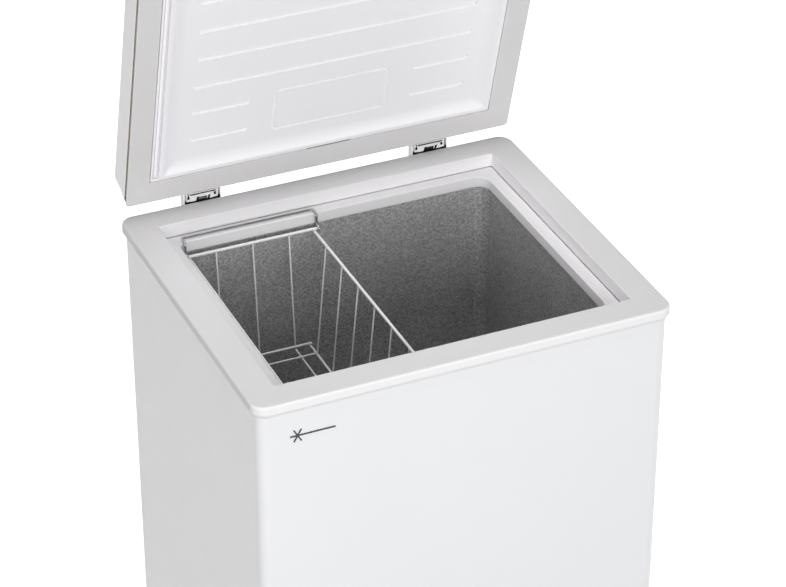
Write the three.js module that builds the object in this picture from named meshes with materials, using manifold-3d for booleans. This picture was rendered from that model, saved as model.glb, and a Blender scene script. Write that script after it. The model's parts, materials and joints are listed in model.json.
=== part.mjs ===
// A small white chest freezer with its lid open, standing on four feet.
// Units are millimetres. +Z is up, -Y is the front, +X is the right-hand side as you face it.
// The lid, the basket, its two handles, the thermostat knob and the drain plug move.

import * as THREE from 'three';
import { mergeVertices } from 'three/addons/utils/BufferGeometryUtils.js';
import Module from 'manifold-3d';

const wasm = await Module();
wasm.setup();

// ---------------------------------------------------------------- driving dimensions

const GAP = 0.3;                    // between touching pieces

const RIM_WIDTH = 573;              // outside of the plastic collar, left to right
const RIM_DEPTH = 494.6;            // outside of the plastic collar, front to back
const RIM_TOP = 803;                // height of the collar's top face
const RIM_FRONT = -253;
const RIM_BACK = RIM_FRONT + RIM_DEPTH;
const RIM_MIDDLE = (RIM_FRONT + RIM_BACK) / 2;
const RIM_CORNER = 20;              // plan radius of the collar's corners

// Insets are measured inwards from the collar's outer edge.
const WALL_INSET = 5;               // outer face of the steel walls
const SHEET = 1;                    // steel and aluminium sheet
const STEP_INSET = 42.2;            // inner face of the collar's step
const LIP_INSET = 61.7;             // inner face of the throat's lip
const LINER_INSET = 59;             // inner face of the liner
const LINER_CORNER = 19;
const LIP_CORNER = 14;
const LEDGE_DROP = 20;              // from the collar's top down to the basket ledge
const LIP_DROP = 36;                // from the collar's top down to the lip's lower edge
const COLLAR_THICKNESS = 2.7;
const SKIRT_DROP = 18;

const FOOT_HEIGHT = 16;
const BASE_THICKNESS = 2;
const BASE_TOP = FOOT_HEIGHT + BASE_THICKNESS;
const FLOOR_TOP = 75;               // inside floor of the storage space
const SHELF_X = 77;                 // the raised part of the floor starts here
const SHELF_TOP = 305;
const BAY_X = 131;                  // left side of the compressor bay
const BAY_TOP = 255;
const WALL_SEAM = RIM_BACK - 24;    // where the side walls meet the rear panel

const HINGE_Y = RIM_BACK + 4.9;
const HINGE_Z = RIM_TOP + 20;
const HINGE_X = 167.5;              // distance of each hinge from the middle
const LID_OPEN = 74.2;              // degrees from closed in the stored pose
const LID_INSET = 5;                // the lid's sides and front stand in from the collar's edge
const LID_BACK = RIM_BACK - 2.6;
const LID_BOTTOM = RIM_TOP + 4.8;
const LID_TOP = RIM_TOP + 49;
const LID_CORNER = 16;
const LID_ROUND = 8;                // rounding of the lid's upper edge
const LID_WALL = 2.5;
const GASKET_INSET = 7;
const GASKET_INNER = 38.5;
const PANEL_INSET = 8;              // the parts held inside the shell's wall
const PANEL_CORNER = 16;
const PLUG_HALF_WIDTH = 239.2;
const PLUG_FRONT = RIM_FRONT + 47.3;
const PLUG_BACK = RIM_BACK - 52.2;
const PLUG_DROP = 8;                // border of the inner panel below the collar's top
const PLUG_BORDER = 20;             // width of that border
const PLUG_FACE = RIM_TOP - 1.6;    // recessed middle of the inner panel

const BASKET_X = -123;
const BASKET_Z = RIM_TOP - 37.5;    // centre of the two end rods
const BASKET_HALF_LENGTH = 175.5;
const BASKET_HALF_WIDTH = 89.6;
const BASKET_DEPTH = 175;
const BASKET_TAPER = 15;            // how far each wall comes in at the bottom
const ROD = 2.2;                    // radius of the basket's frame rods
const WIRE = 1.3;                   // radius of its thin wires
const LOOP = 1.8;                   // radius of its handle wire

// ---------------------------------------------------------------- materials

const paint = (colour, roughness, metalness = 0) =>
  new THREE.MeshStandardMaterial({ color: colour, roughness, metalness });

const WHITE_STEEL = paint(0xf2f3f4, 0.35);
const WHITE_PLASTIC = paint(0xe4e4e6, 0.45);
const LINER_PLASTIC = paint(0xe6e6ea, 0.5);
const GREY_RUBBER = paint(0xcac9ca, 0.7);
const STUCCO = paint(0x8d8d90, 0.4, 0.9);
const ZINC = paint(0xb9bbbd, 0.35, 0.9);
const CHROME = paint(0xd4d6d8, 0.15, 1);
const FOAM = paint(0xe8dcae, 0.9);
const BLACK = paint(0x1c1c1e, 0.5);
const RUBBER = paint(0x2a2a2b, 0.85);
const COPPER = paint(0xb8734a, 0.35, 0.9);
const WIRE_WHITE = paint(0xf0f0f0, 0.35);
const MARK_GREY = paint(0x4a4a4d, 0.5);
const LAMP_GREEN = paint(0x3fae5a, 0.25);

// ---------------------------------------------------------------- solids

/** Turns a closed three.js geometry into a solid that can be joined and cut. */
function toSolid(geometry) {
  const bare = geometry.index ? geometry.toNonIndexed() : geometry.clone();
  bare.deleteAttribute('normal');
  bare.deleteAttribute('uv');
  const merged = mergeVertices(bare, 1e-4);
  const corners = [];
  for (let i = 0; i < merged.index.count; i += 3) {
    const [a, b, c] = [0, 1, 2].map((k) => merged.index.getX(i + k));
    if (a !== b && b !== c && c !== a) corners.push(a, b, c);
  }
  const mesh = new wasm.Mesh({
    numProp: 3,
    vertProperties: Float32Array.from(merged.attributes.position.array),
    triVerts: Uint32Array.from(corners),
  });
  return new wasm.Manifold(mesh);
}

/** Turns a solid back into a geometry for a mesh. */
function toGeometry(solid) {
  const mesh = solid.getMesh();
  const geometry = new THREE.BufferGeometry();
  geometry.setAttribute('position', new THREE.BufferAttribute(mesh.vertProperties, 3));
  geometry.setIndex(new THREE.BufferAttribute(mesh.triVerts, 1));
  geometry.computeVertexNormals();
  return geometry;
}

const join = (...solids) => solids.flat().reduce((whole, piece) => whole.add(piece));
const cut = (solid, ...tools) => tools.flat().reduce((rest, tool) => rest.subtract(tool), solid);

/** A block between two corners. */
function block([x0, y0, z0], [x1, y1, z1]) {
  const geometry = new THREE.BoxGeometry(x1 - x0, y1 - y0, z1 - z0);
  return toSolid(geometry.translate((x0 + x1) / 2, (y0 + y1) / 2, (z0 + z1) / 2));
}

/** A rectangle with round corners. */
function roundedRectangle(x0, x1, y0, y1, radius) {
  const shape = new THREE.Shape();
  shape.absarc(x1 - radius, y0 + radius, radius, -Math.PI / 2, 0);
  shape.absarc(x1 - radius, y1 - radius, radius, 0, Math.PI / 2);
  shape.absarc(x0 + radius, y1 - radius, radius, Math.PI / 2, Math.PI);
  shape.absarc(x0 + radius, y0 + radius, radius, Math.PI, 1.5 * Math.PI);
  shape.closePath();
  return shape;
}

/** A rounded rectangle that follows the collar's outline at the given inset. */
function rimOutline(inset, radius, back = RIM_BACK - inset) {
  const half = RIM_WIDTH / 2 - inset;
  return roundedRectangle(-half, half, RIM_FRONT + inset, back, radius);
}

/** Stands a flat outline up between two heights. */
function prism(shape, bottom, top, curveSegments = 2) {
  const options = { depth: top - bottom, bevelEnabled: false, curveSegments };
  return toSolid(new THREE.ExtrudeGeometry(shape, options).translate(0, 0, bottom));
}

/** An upright ring between two outlines. */
function ring(outer, inner, bottom, top, curveSegments = 2) {
  return cut(prism(outer, bottom, top, curveSegments), prism(inner, bottom - 1, top + 1, curveSegments));
}

/** A round bar from one point to another. */
function rod(from, to, radius, sides = 12, endRadius = radius) {
  const start = new THREE.Vector3(...from);
  const along = new THREE.Vector3(...to).sub(start);
  const geometry = new THREE.CylinderGeometry(endRadius, radius, along.length(), sides);
  const turn = new THREE.Quaternion().setFromUnitVectors(
    new THREE.Vector3(0, 1, 0), along.clone().normalize());
  geometry.translate(0, along.length() / 2, 0).applyQuaternion(turn);
  return toSolid(geometry.translate(...from));
}

/** A turned piece about an upright axis; the profile lists [radius, height] upwards. */
function turned([x, y], profile, sides = 20) {
  const points = profile.map(([radius, height]) => new THREE.Vector2(radius, height));
  const geometry = new THREE.LatheGeometry(points, sides);
  return toSolid(geometry.rotateX(Math.PI / 2).translate(x, y, 0));
}

/** A path whose samples fall on its own corner points. */
class Route extends THREE.Curve {
  constructor(points) {
    super();
    this.points = points.map((point) => new THREE.Vector3(...point));
  }

  getPoint(t, target = new THREE.Vector3()) {
    const place = t * (this.points.length - 1);
    const index = Math.min(Math.floor(place), this.points.length - 2);
    return target.lerpVectors(this.points[index], this.points[index + 1], place - index);
  }

  getPointAt(u, target) {
    return this.getPoint(u, target);
  }

  getTangentAt(u, target = new THREE.Vector3()) {
    const index = Math.round(u * (this.points.length - 1));
    const here = this.points[index];
    const before = this.points[Math.max(index - 1, 0)];
    const after = this.points[Math.min(index + 1, this.points.length - 1)];
    const arriving = here.clone().sub(before).normalize();
    const leaving = after.clone().sub(here).normalize();
    return target.copy(arriving).add(leaving).normalize();
  }
}

/** Rounds the corners of a path, with a few short steps in each bend. */
function roundCorners(points, radius, steps = 3) {
  const out = [points[0]];
  for (let i = 1; i < points.length - 1; i++) {
    const corner = new THREE.Vector3(...points[i]);
    const toBefore = new THREE.Vector3(...points[i - 1]).sub(corner).normalize();
    const toAfter = new THREE.Vector3(...points[i + 1]).sub(corner).normalize();
    const halfAngle = toBefore.angleTo(toAfter) / 2;
    const reach = radius / Math.tan(halfAngle);
    const centre = toBefore.clone().add(toAfter).normalize()
      .multiplyScalar(radius / Math.sin(halfAngle)).add(corner);
    const from = toBefore.multiplyScalar(reach).add(corner).sub(centre);
    const to = toAfter.multiplyScalar(reach).add(corner).sub(centre);
    const sweep = from.angleTo(to);
    for (let k = 0; k <= steps; k++) {
      const a = Math.sin(sweep * (1 - k / steps)) / Math.sin(sweep);
      const b = Math.sin(sweep * k / steps) / Math.sin(sweep);
      const spoke = from.clone().multiplyScalar(a).add(to.clone().multiplyScalar(b));
      out.push(spoke.add(centre).toArray());
    }
  }
  out.push(points[points.length - 1]);
  return out;
}

/** A bar of the given section pushed along a path of corner points. */
function sweep(points, section) {
  const options = { steps: points.length - 1, extrudePath: new Route(points), curveSegments: 1 };
  return toSolid(new THREE.ExtrudeGeometry(section, options));
}

/** A regular section for a tube or a wire, widened so that its area is a circle's. */
function roundSection(radius, sides = 6) {
  const reach = radius * Math.sqrt((2 * Math.PI / sides) / Math.sin(2 * Math.PI / sides));
  const corners = Array.from({ length: sides }, (_, i) => {
    const angle = (i + 0.5) * 2 * Math.PI / sides;
    return new THREE.Vector2(reach * Math.cos(angle), reach * Math.sin(angle));
  });
  return new THREE.Shape(corners);
}

const squareSection = (half) => new THREE.Shape([
  new THREE.Vector2(-half, -half), new THREE.Vector2(half, -half),
  new THREE.Vector2(half, half), new THREE.Vector2(-half, half)]);

/** A round ring about a left-to-right axis. */
function eye([x, y, z], radius, wire) {
  const geometry = new THREE.TorusGeometry(radius, wire, 6, 10).rotateY(Math.PI / 2);
  return toSolid(geometry.translate(x, y, z));
}

// ---------------------------------------------------------------- assembly

const freezer = new THREE.Group();
const lid = new THREE.Group();
freezer.add(lid);

function add(name, solid, material, group = freezer) {
  const mesh = new THREE.Mesh(toGeometry(solid), material);
  mesh.name = name;
  group.add(mesh);
}

const BACK_FACE = RIM_BACK - WALL_INSET;                        // outside of the rear panel
const BODY_TOP = RIM_TOP - COLLAR_THICKNESS - GAP;
const FAR = 1000;                                               // beyond the object

// ---------------------------------------------------------------- control panel sizes

const PANEL = { x0: 164, x1: 268, z0: 80, z1: 140 };
const PANEL_FACE = RIM_FRONT + 2;
const PANEL_BOX = { x0: 172, x1: 260, z0: 88, z1: 132 };
const KNOB = { x: 198, z: 110, radius: 18, front: RIM_FRONT - 9 };
const LAMP = { x: 242, z: 118, radius: 3 };

// ---------------------------------------------------------------- cabinet walls

function outerWalls() {
  const corner = RIM_CORNER - WALL_INSET;
  const tube = ring(rimOutline(WALL_INSET, corner), rimOutline(WALL_INSET + SHEET, corner - SHEET),
    FOOT_HEIGHT, BODY_TOP);
  const frontPart = cut(tube, block([-FAR, WALL_SEAM - GAP / 2, 0], [FAR, FAR, FAR]));
  const backPart = cut(tube, block([-FAR, -FAR, 0], [FAR, WALL_SEAM + GAP / 2, FAR]));

  const margin = 0.5;
  const panelHole = block([PANEL_BOX.x0 - margin, -FAR, PANEL_BOX.z0 - margin],
    [PANEL_BOX.x1 + margin, 0, PANEL_BOX.z1 + margin]);
  const slots = Array.from({ length: 8 }, (_, i) => {
    const y = -120 + 26 * i;
    return block([SHELF_X, y, 70], [FAR, y + 7, 150]);
  });
  add('outer_wrapper', cut(frontPart, panelHole, slots), WHITE_STEEL);

  const grilleHole = block([146, 0, 66], [262, FAR, 232]);
  const glandHole = rod([245, BACK_FACE - 5, 40], [245, BACK_FACE + 5, 40], 8.3);
  const screwHoles = [-1, 1].map((side) =>
    rod([side * HINGE_X, BACK_FACE - 5, 755], [side * HINGE_X, BACK_FACE + 5, 755], 2.3, 8));
  add('rear_panel', cut(backPart, grilleHole, glandHole, screwHoles), WHITE_STEEL);
}

/** The storage space grown outwards by the given amount; its corners can be made tighter. */
function storage(grow, top, corner = LINER_CORNER + grow, curveSegments = 3) {
  const outline = rimOutline(LINER_INSET - grow, corner);
  const shelf = block([SHELF_X + grow, -FAR, 0], [FAR, FAR, SHELF_TOP - grow]);
  return cut(prism(outline, FLOOR_TOP - grow, top, curveSegments), shelf);
}

const DRAIN = { x: -190, y: RIM_MIDDLE - 150 };

function liner() {
  const top = RIM_TOP - LEDGE_DROP - 3.3;
  const drain = rod([DRAIN.x, DRAIN.y, 50], [DRAIN.x, DRAIN.y, 90], 9.3);
  add('inner_liner', cut(storage(SHEET, top), storage(0, top + 1), drain), STUCCO);
}

// The evaporator tube runs round the liner; the condenser tube runs round the outer walls.

function evaporatorRoute() {
  const inset = LINER_INSET - SHEET - GAP - 3.6;
  const x = RIM_WIDTH / 2 - inset;
  const front = RIM_FRONT + inset;
  const back = RIM_BACK - inset;
  const points = [];
  for (let turn = 0; turn < 5; turn++) {
    const z = 340 + 84 * turn;
    const start = turn % 2 ? 36 : -36;       // the risers take turns on two sides of the middle
    points.push([start, back, z], [x * Math.sign(start), back, z], [x * Math.sign(start), front, z]);
    points.push([-x * Math.sign(start), front, z], [-x * Math.sign(start), back, z]);
    points.push([-start, back, z]);
  }
  return roundCorners(points, 15, 2);
}

function condenserRoute() {
  const inset = WALL_INSET + SHEET + GAP + 2.6;
  const x = RIM_WIDTH / 2 - inset;
  const front = RIM_FRONT + inset;
  const back = WALL_SEAM - 30;
  const points = [];
  for (let run = 0; run < 5; run++) {
    const z = 300 + 96 * run;
    const side = run % 2 ? -1 : 1;
    points.push([side * x, back, z], [side * x, front, z]);
    points.push([-side * x, front, z], [-side * x, back, z]);
  }
  return roundCorners(points, 12, 2);
}

function foam() {
  const outline = rimOutline(WALL_INSET + SHEET + GAP, RIM_CORNER - WALL_INSET - SHEET - GAP);
  const joint = RIM_TOP - LEDGE_DROP - 3;      // the foam is in two pieces, parted below the ledge
  const blockOfFoam = prism(outline, BASE_TOP + GAP, joint);
  const bay = block([BAY_X, -FAR, 0], [FAR, FAR, BAY_TOP]);
  const drain = rod([DRAIN.x, DRAIN.y, 0], [DRAIN.x, DRAIN.y, 90], 12.6);
  const channels = [
    sweep(evaporatorRoute(), squareSection(4.2)),
    sweep(condenserRoute(), squareSection(3.1)),
  ];
  const room = storage(SHEET + GAP, FAR, 8, 1);
  add('cabinet_foam', cut(blockOfFoam, room, bay, drain, channels), FOAM);
  add('rim_foam', ring(outline, rimOutline(35.7, 4), joint + GAP, BODY_TOP), FOAM);
  add('evaporator_coil', sweep(evaporatorRoute(), roundSection(3.2)), STUCCO);
  add('condenser_coil', sweep(condenserRoute(), roundSection(2.3)), COPPER);
}

// ---------------------------------------------------------------- collar and throat

function collar() {
  const top = ring(rimOutline(0, RIM_CORNER), rimOutline(STEP_INSET, 3),
    RIM_TOP - COLLAR_THICKNESS, RIM_TOP, 3);
  const inner = rimOutline(WALL_INSET - GAP, RIM_CORNER - WALL_INSET + GAP);
  const skirt = ring(rimOutline(0, RIM_CORNER), inner, RIM_TOP - 12, RIM_TOP - 1, 3);
  const hem = ring(rimOutline(2.4, RIM_CORNER - 2.4), inner, RIM_TOP - SKIRT_DROP, RIM_TOP - 11, 3);
  const step = ring(rimOutline(STEP_INSET - 2.5, 4), rimOutline(STEP_INSET, 3),
    RIM_TOP - LEDGE_DROP + GAP, RIM_TOP - 1);
  add('top_collar', join(top, skirt, hem, step), WHITE_PLASTIC);
}

function throat() {
  const ledge = ring(rimOutline(36, 5), rimOutline(LIP_INSET, LIP_CORNER),
    RIM_TOP - LEDGE_DROP - 2.7, RIM_TOP - LEDGE_DROP, 3);
  const lip = ring(rimOutline(LINER_INSET + GAP, LINER_CORNER - GAP), rimOutline(LIP_INSET, LIP_CORNER),
    RIM_TOP - LIP_DROP, RIM_TOP - LEDGE_DROP - 1, 3);
  add('throat_frame', join(ledge, lip), WHITE_PLASTIC);
}

// ---------------------------------------------------------------- base and feet

function base() {
  const outline = rimOutline(WALL_INSET + SHEET + GAP, RIM_CORNER - WALL_INSET - SHEET - GAP);
  const drain = rod([DRAIN.x, DRAIN.y, 0], [DRAIN.x, DRAIN.y, 30], 12.6);
  add('base_pan', cut(prism(outline, FOOT_HEIGHT, BASE_TOP), drain), ZINC);
  for (const [side, x] of [['left', -240], ['right', 240]])
    for (const [end, y] of [['front', RIM_FRONT + 48], ['rear', RIM_BACK - 48]])
      add(`foot_${end}_${side}`,
        rod([x, y, 0], [x, y, FOOT_HEIGHT - GAP], 17, 16, 20), BLACK);
}

function drainParts() {
  const tube = cut(rod([DRAIN.x, DRAIN.y, 8], [DRAIN.x, DRAIN.y, FLOOR_TOP - SHEET - GAP], 12),
    rod([DRAIN.x, DRAIN.y, 0], [DRAIN.x, DRAIN.y, FAR], 9.2));
  add('drain_tube', tube, WHITE_PLASTIC);
  const head = rod([DRAIN.x, DRAIN.y, FLOOR_TOP + GAP], [DRAIN.x, DRAIN.y, FLOOR_TOP + 4.3], 13, 16, 12);
  const stem = rod([DRAIN.x, DRAIN.y, FLOOR_TOP - 12], [DRAIN.x, DRAIN.y, FLOOR_TOP + 2], 8.4, 12);
  const tab = block([DRAIN.x - 7, DRAIN.y - 1.5, FLOOR_TOP + 3],
    [DRAIN.x + 7, DRAIN.y + 1.5, FLOOR_TOP + 13]);
  add('drain_plug', join(head, stem, tab), RUBBER);
}

// ---------------------------------------------------------------- compressor bay

function compressorBay() {
  const inset = WALL_INSET + SHEET + 2 * GAP;
  const bayOutline = rimOutline(inset, RIM_CORNER - inset);
  const leftOfBay = block([-FAR, -FAR, 0], [BAY_X + GAP, FAR, FAR]);
  const bayRoom = block([BAY_X + GAP + SHEET, -FAR, 0], [FAR, FAR, BAY_TOP - GAP - SHEET]);
  const bulkhead = cut(prism(bayOutline, BASE_TOP + GAP, BAY_TOP - GAP), leftOfBay, bayRoom);
  add('compressor_bulkhead', bulkhead, ZINC);

  const centre = [206, 118];
  const tray = block([140, 32, BASE_TOP + GAP], [272, 204, BASE_TOP + GAP + 2]);
  add('compressor_tray', tray, ZINC);
  const trayTop = BASE_TOP + GAP + 2;
  const legTop = trayTop + 12;
  for (const [end, y] of [['front', 46], ['rear', 190]])
    for (const [side, x] of [['left', 154], ['right', 258]])
      add(`mount_grommet_${end}_${side}`,
        rod([x, y, trayTop + GAP], [x, y, legTop - GAP], 10, 10), RUBBER);

  const shell = turned(centre, [[0, 30], [36, 34], [54, 46], [59, 62], [60, 104], [64, 105], [64, 110],
    [60, 111], [59, 146], [52, 164], [34, 176], [0, 181]], 16);
  const feet = block([144, 36, legTop], [268, 200, legTop + 3]);
  const suctionStub = rod([206, 118 - 50, 130], [206, 118 - 72, 130], 5, 8);
  add('compressor', join(shell, feet, suctionStub), BLACK);

  const cover = block([176, 40, 58], [236, 118 - 64.5, 102]);
  add('relay_cover', cover, BLACK);

  const suction = roundCorners([[206, 45.5, 130], [206, 20, 130], [206, 20, 200], [150, 20, 200],
    [133.5, 20, 200]], 10, 2);
  add('suction_line', sweep(suction, roundSection(4)), COPPER);

  const drier = turned([160, -60], [[0, 90], [3, 92], [9, 104], [9, 168], [3, 180], [0, 182]], 12);
  add('filter_drier', drier, COPPER);

  const plate = block([138, BACK_FACE + GAP, 58], [270, BACK_FACE + 2.3, 240]);
  const openings = Array.from({ length: 9 }, (_, i) => {
    const z = 74 + 17.5 * i;
    return block([150, 0, z], [258, FAR, z + 9]);
  });
  add('compressor_grille', cut(plate, openings), BLACK);

  const gland = cut(
    join(rod([245, BACK_FACE - 8, 40], [245, BACK_FACE + 3, 40], 8),
      rod([245, BACK_FACE + GAP, 40], [245, BACK_FACE + 8, 40], 12, 12, 9)),
    rod([245, BACK_FACE - 20, 40], [245, BACK_FACE + 20, 40], 4));
  add('mains_gland', gland, BLACK);
}

// ---------------------------------------------------------------- controls and emblem

function controls() {
  const face = block([PANEL.x0, PANEL_FACE, PANEL.z0], [PANEL.x1, RIM_FRONT + WALL_INSET - GAP, PANEL.z1]);
  const box = cut(
    block([PANEL_BOX.x0, PANEL_FACE, PANEL_BOX.z0], [PANEL_BOX.x1, RIM_FRONT + 22, PANEL_BOX.z1]),
    block([PANEL_BOX.x0 + 2, RIM_FRONT + 5, PANEL_BOX.z0 + 2], [PANEL_BOX.x1 - 2, 0, PANEL_BOX.z1 - 2]));
  const shaftHole = rod([KNOB.x, -FAR, KNOB.z], [KNOB.x, 0, KNOB.z], 3.6, 12);
  const lampHole = rod([LAMP.x, -FAR, LAMP.z], [LAMP.x, 0, LAMP.z], LAMP.radius + GAP, 12);
  add('control_panel', cut(join(face, box), shaftHole, lampHole), WHITE_PLASTIC);

  const lens = rod([LAMP.x, PANEL_FACE - 1.2, LAMP.z], [LAMP.x, RIM_FRONT + 12, LAMP.z], LAMP.radius, 12);
  add('power_lamp', lens, LAMP_GREEN);

  const body = cut(
    block([KNOB.x - 19, RIM_FRONT + 5 + GAP, KNOB.z - 18], [KNOB.x + 19, RIM_FRONT + 40, KNOB.z + 18]),
    rod([KNOB.x, -FAR, KNOB.z], [KNOB.x, RIM_FRONT + 16, KNOB.z], 3.6, 12));
  add('thermostat', body, ZINC);

  const dial = rod([KNOB.x, PANEL_FACE - GAP, KNOB.z], [KNOB.x, KNOB.front + 2, KNOB.z], KNOB.radius, 24, 17);
  const shaft = rod([KNOB.x, PANEL_FACE - 1, KNOB.z], [KNOB.x, RIM_FRONT + 14, KNOB.z], 3, 12);
  const pointer = block([KNOB.x - 2.5, KNOB.front, KNOB.z - 15], [KNOB.x + 2.5, PANEL_FACE - 1, KNOB.z + 16]);
  add('thermostat_knob', join(dial, shaft, pointer), WHITE_PLASTIC);
}

/** A plain snowflake with a bar beside it, standing half a millimetre off the front wall. */
function emblem() {
  const y0 = RIM_FRONT + WALL_INSET - 0.9;
  const y1 = RIM_FRONT + WALL_INSET - GAP;
  const [x, z] = [-230, RIM_TOP - 54];
  const arms = [0, 1, 2].map((i) => {
    const geometry = new THREE.BoxGeometry(20, y1 - y0, 2).rotateY(i * Math.PI / 3);
    return toSolid(geometry.translate(x, (y0 + y1) / 2, z));
  });
  const bar = block([x + 9, y0, z - 1], [x + 50, y1, z + 1]);
  add('front_emblem', join(arms, bar), MARK_GREY);
}

// ---------------------------------------------------------------- hinges

/** Everything of one hinge; the pieces in the lid's group are drawn with the lid closed. */
function hinge(name, x) {
  const wall = RIM_BACK + GAP;                 // just behind the collar
  const cheek = 23;                            // half the bracket's width
  const pinRadius = 3;
  const bore = pinRadius + GAP;

  const pad = block([x - cheek, BACK_FACE + GAP, 742], [x + cheek, wall + 2, 780]);
  const plate = block([x - cheek, wall, 770], [x + cheek, wall + 2, HINGE_Z - 8]);
  const cheeks = [-1, 1].map((side) => {
    const x0 = x + side * (cheek - 1);
    const upright = block([x0 - 1, wall, 785], [x0 + 1, wall + 10, HINGE_Z]);
    const round = rod([x0 - 1, HINGE_Y, HINGE_Z], [x0 + 1, HINGE_Y, HINGE_Z], 6.5, 16);
    return join(upright, round);
  });
  const screwHole = rod([x, 0, 755], [x, FAR, 755], 2.3, 8);
  const pinHole = rod([x - 40, HINGE_Y, HINGE_Z], [x + 40, HINGE_Y, HINGE_Z], bore);
  add(`hinge_bracket_${name}`, cut(join(pad, plate, cheeks), screwHole, pinHole), ZINC);

  const screw = join(rod([x, wall + 2 + GAP, 755], [x, wall + 4.4, 755], 4.2, 12, 3.4),
    rod([x, BACK_FACE - 0.8, 755], [x, wall + 3, 755], 2, 8));
  add(`hinge_screw_${name}`, screw, ZINC);

  const pin = join(rod([x - 25, HINGE_Y, HINGE_Z], [x + 25, HINGE_Y, HINGE_Z], pinRadius, 12),
    [-1, 1].map((side) => rod([x + side * (cheek + GAP), HINGE_Y, HINGE_Z],
      [x + side * 26, HINGE_Y, HINGE_Z], 4.5, 12)));
  add(`hinge_pin_${name}`, pin, CHROME);

  const turns = 4;
  const stepsPerTurn = 6;
  const coil = Array.from({ length: turns * stepsPerTurn + 1 }, (_, i) => {
    const angle = i * 2 * Math.PI / stepsPerTurn;
    return [x - 7 + 14 * i / (turns * stepsPerTurn),
      HINGE_Y + 4.3 * Math.cos(angle), HINGE_Z + 4.3 * Math.sin(angle)];
  });
  add(`hinge_spring_${name}`, sweep(coil, roundSection(0.65, 5)), ZINC);

  const outside = block([x - 27.8, wall, 728], [x + 27.8, HINGE_Y + 12.5, HINGE_Z + 4]);
  const room = block([x - 26.3, 0, 730], [x + 26.3, HINGE_Y + 11, HINGE_Z + 2]);
  const mouth = block([x - 26.3, 0, HINGE_Z], [x + 26.3, HINGE_Y + 8, FAR]);
  add(`hinge_cover_${name}`, cut(outside, room, mouth), WHITE_PLASTIC);

  const leafBack = LID_BACK + GAP;
  const leaf = block([x - 18, leafBack, LID_BOTTOM + 1], [x + 18, leafBack + 2, LID_BOTTOM + 32]);
  const barrels = [-1, 1].map((side) =>
    rod([x + side * 9, HINGE_Y, HINGE_Z], [x + side * 17, HINGE_Y, HINGE_Z], 5.5, 16));
  const leafHole = rod([x, 0, LID_BOTTOM + 27], [x, FAR, LID_BOTTOM + 27], 1.9, 8);
  add(`hinge_leaf_${name}`, cut(join(leaf, barrels), pinHole, leafHole), ZINC, lid);
  const leafScrew = join(
    rod([x, leafBack + 2 + GAP, LID_BOTTOM + 27], [x, leafBack + 3.6, LID_BOTTOM + 27], 3, 10),
    rod([x, leafBack - 1.6, LID_BOTTOM + 27], [x, leafBack + 3, LID_BOTTOM + 27], 1.6, 8));
  add(`leaf_screw_${name}`, leafScrew, ZINC, lid);
}

// ---------------------------------------------------------------- lid (drawn closed)

/** The lid's domed outer form, shrunk by the given amount and cut off below. */
function lidForm(shrink, bottom) {
  const inset = LID_ROUND + shrink;
  const flat = rimOutline(LID_INSET + inset, LID_CORNER - LID_ROUND, LID_BACK - inset);
  const straight = 60;
  const options = {
    depth: straight, curveSegments: 2, bevelEnabled: true,
    bevelThickness: LID_ROUND, bevelSize: LID_ROUND, bevelSegments: 3,
  };
  const geometry = new THREE.ExtrudeGeometry(flat, options);
  const whole = toSolid(geometry.translate(0, 0, LID_TOP - shrink - LID_ROUND - straight));
  return cut(whole, block([-FAR, -FAR, -FAR], [FAR, FAR, bottom]));
}

const plugOutline = (inset, radius) => roundedRectangle(
  inset - PLUG_HALF_WIDTH, PLUG_HALF_WIDTH - inset, PLUG_FRONT + inset, PLUG_BACK - inset, radius);

function lidShell() {
  const leafHoles = [-1, 1].map((side) =>
    rod([side * HINGE_X, LID_BACK - 5, LID_BOTTOM + 27], [side * HINGE_X, FAR, LID_BOTTOM + 27], 1.9, 8));
  const cap = cut(lidForm(0, LID_BOTTOM), lidForm(LID_WALL, 0));
  add('lid_shell', cut(cap, leafHoles), WHITE_STEEL, lid);
}

const FLANGE_BOTTOM = RIM_TOP + 9.3;
const FLANGE_TOP = RIM_TOP + 11.3;
const PANEL_SHEET = 2;

function lidPanel() {
  const flange = ring(rimOutline(PANEL_INSET, PANEL_CORNER, LID_BACK - 5), plugOutline(4, 8),
    FLANGE_BOTTOM, FLANGE_TOP);
  const plug = prism(plugOutline(0, 12), RIM_TOP - PLUG_DROP, FLANGE_TOP);
  const recess = prism(plugOutline(PLUG_BORDER, 6), 0, PLUG_FACE);
  const above = prism(plugOutline(PANEL_SHEET, 10), PLUG_FACE + PANEL_SHEET, FAR);
  const border = ring(plugOutline(PANEL_SHEET, 10), plugOutline(PLUG_BORDER - PANEL_SHEET, 8),
    RIM_TOP - PLUG_DROP + PANEL_SHEET, PLUG_FACE + PANEL_SHEET + 1);

  const grooveTop = PLUG_FACE + 1.2;
  const groove = (x0, x1, y) => block([x0, y - 4, 0], [x1, y + 4, grooveTop]);
  const grooves = Array.from({ length: 5 }, (_, i) => groove(-197, 197, 39.8 - 48 * i));
  for (const y of [85.4, 133.5]) {
    grooves.push(groove(-197, -116, y), groove(116, 197, y));
  }
  const frameOutside = roundedRectangle(-82.5, 82.5, 74.1, 147.6, 7);
  const frameInside = roundedRectangle(-78, 78, 78.6, 143.1, 4);
  grooves.push(ring(frameOutside, frameInside, 0, grooveTop));
  add('lid_inner_panel', cut(join(flange, plug), recess, above, border, grooves), LINER_PLASTIC, lid);
}

function lidFoam() {
  const inShell = cut(lidForm(LID_WALL + GAP, FLANGE_TOP + GAP),
    block([-FAR, LID_BACK - 6, 0], [FAR, FAR, FAR]));
  const inPlug = prism(plugOutline(PANEL_SHEET + GAP, 9), PLUG_FACE + PANEL_SHEET + GAP, FLANGE_TOP + 1);
  add('lid_foam', join(inShell, inPlug), FOAM, lid);
}

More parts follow.
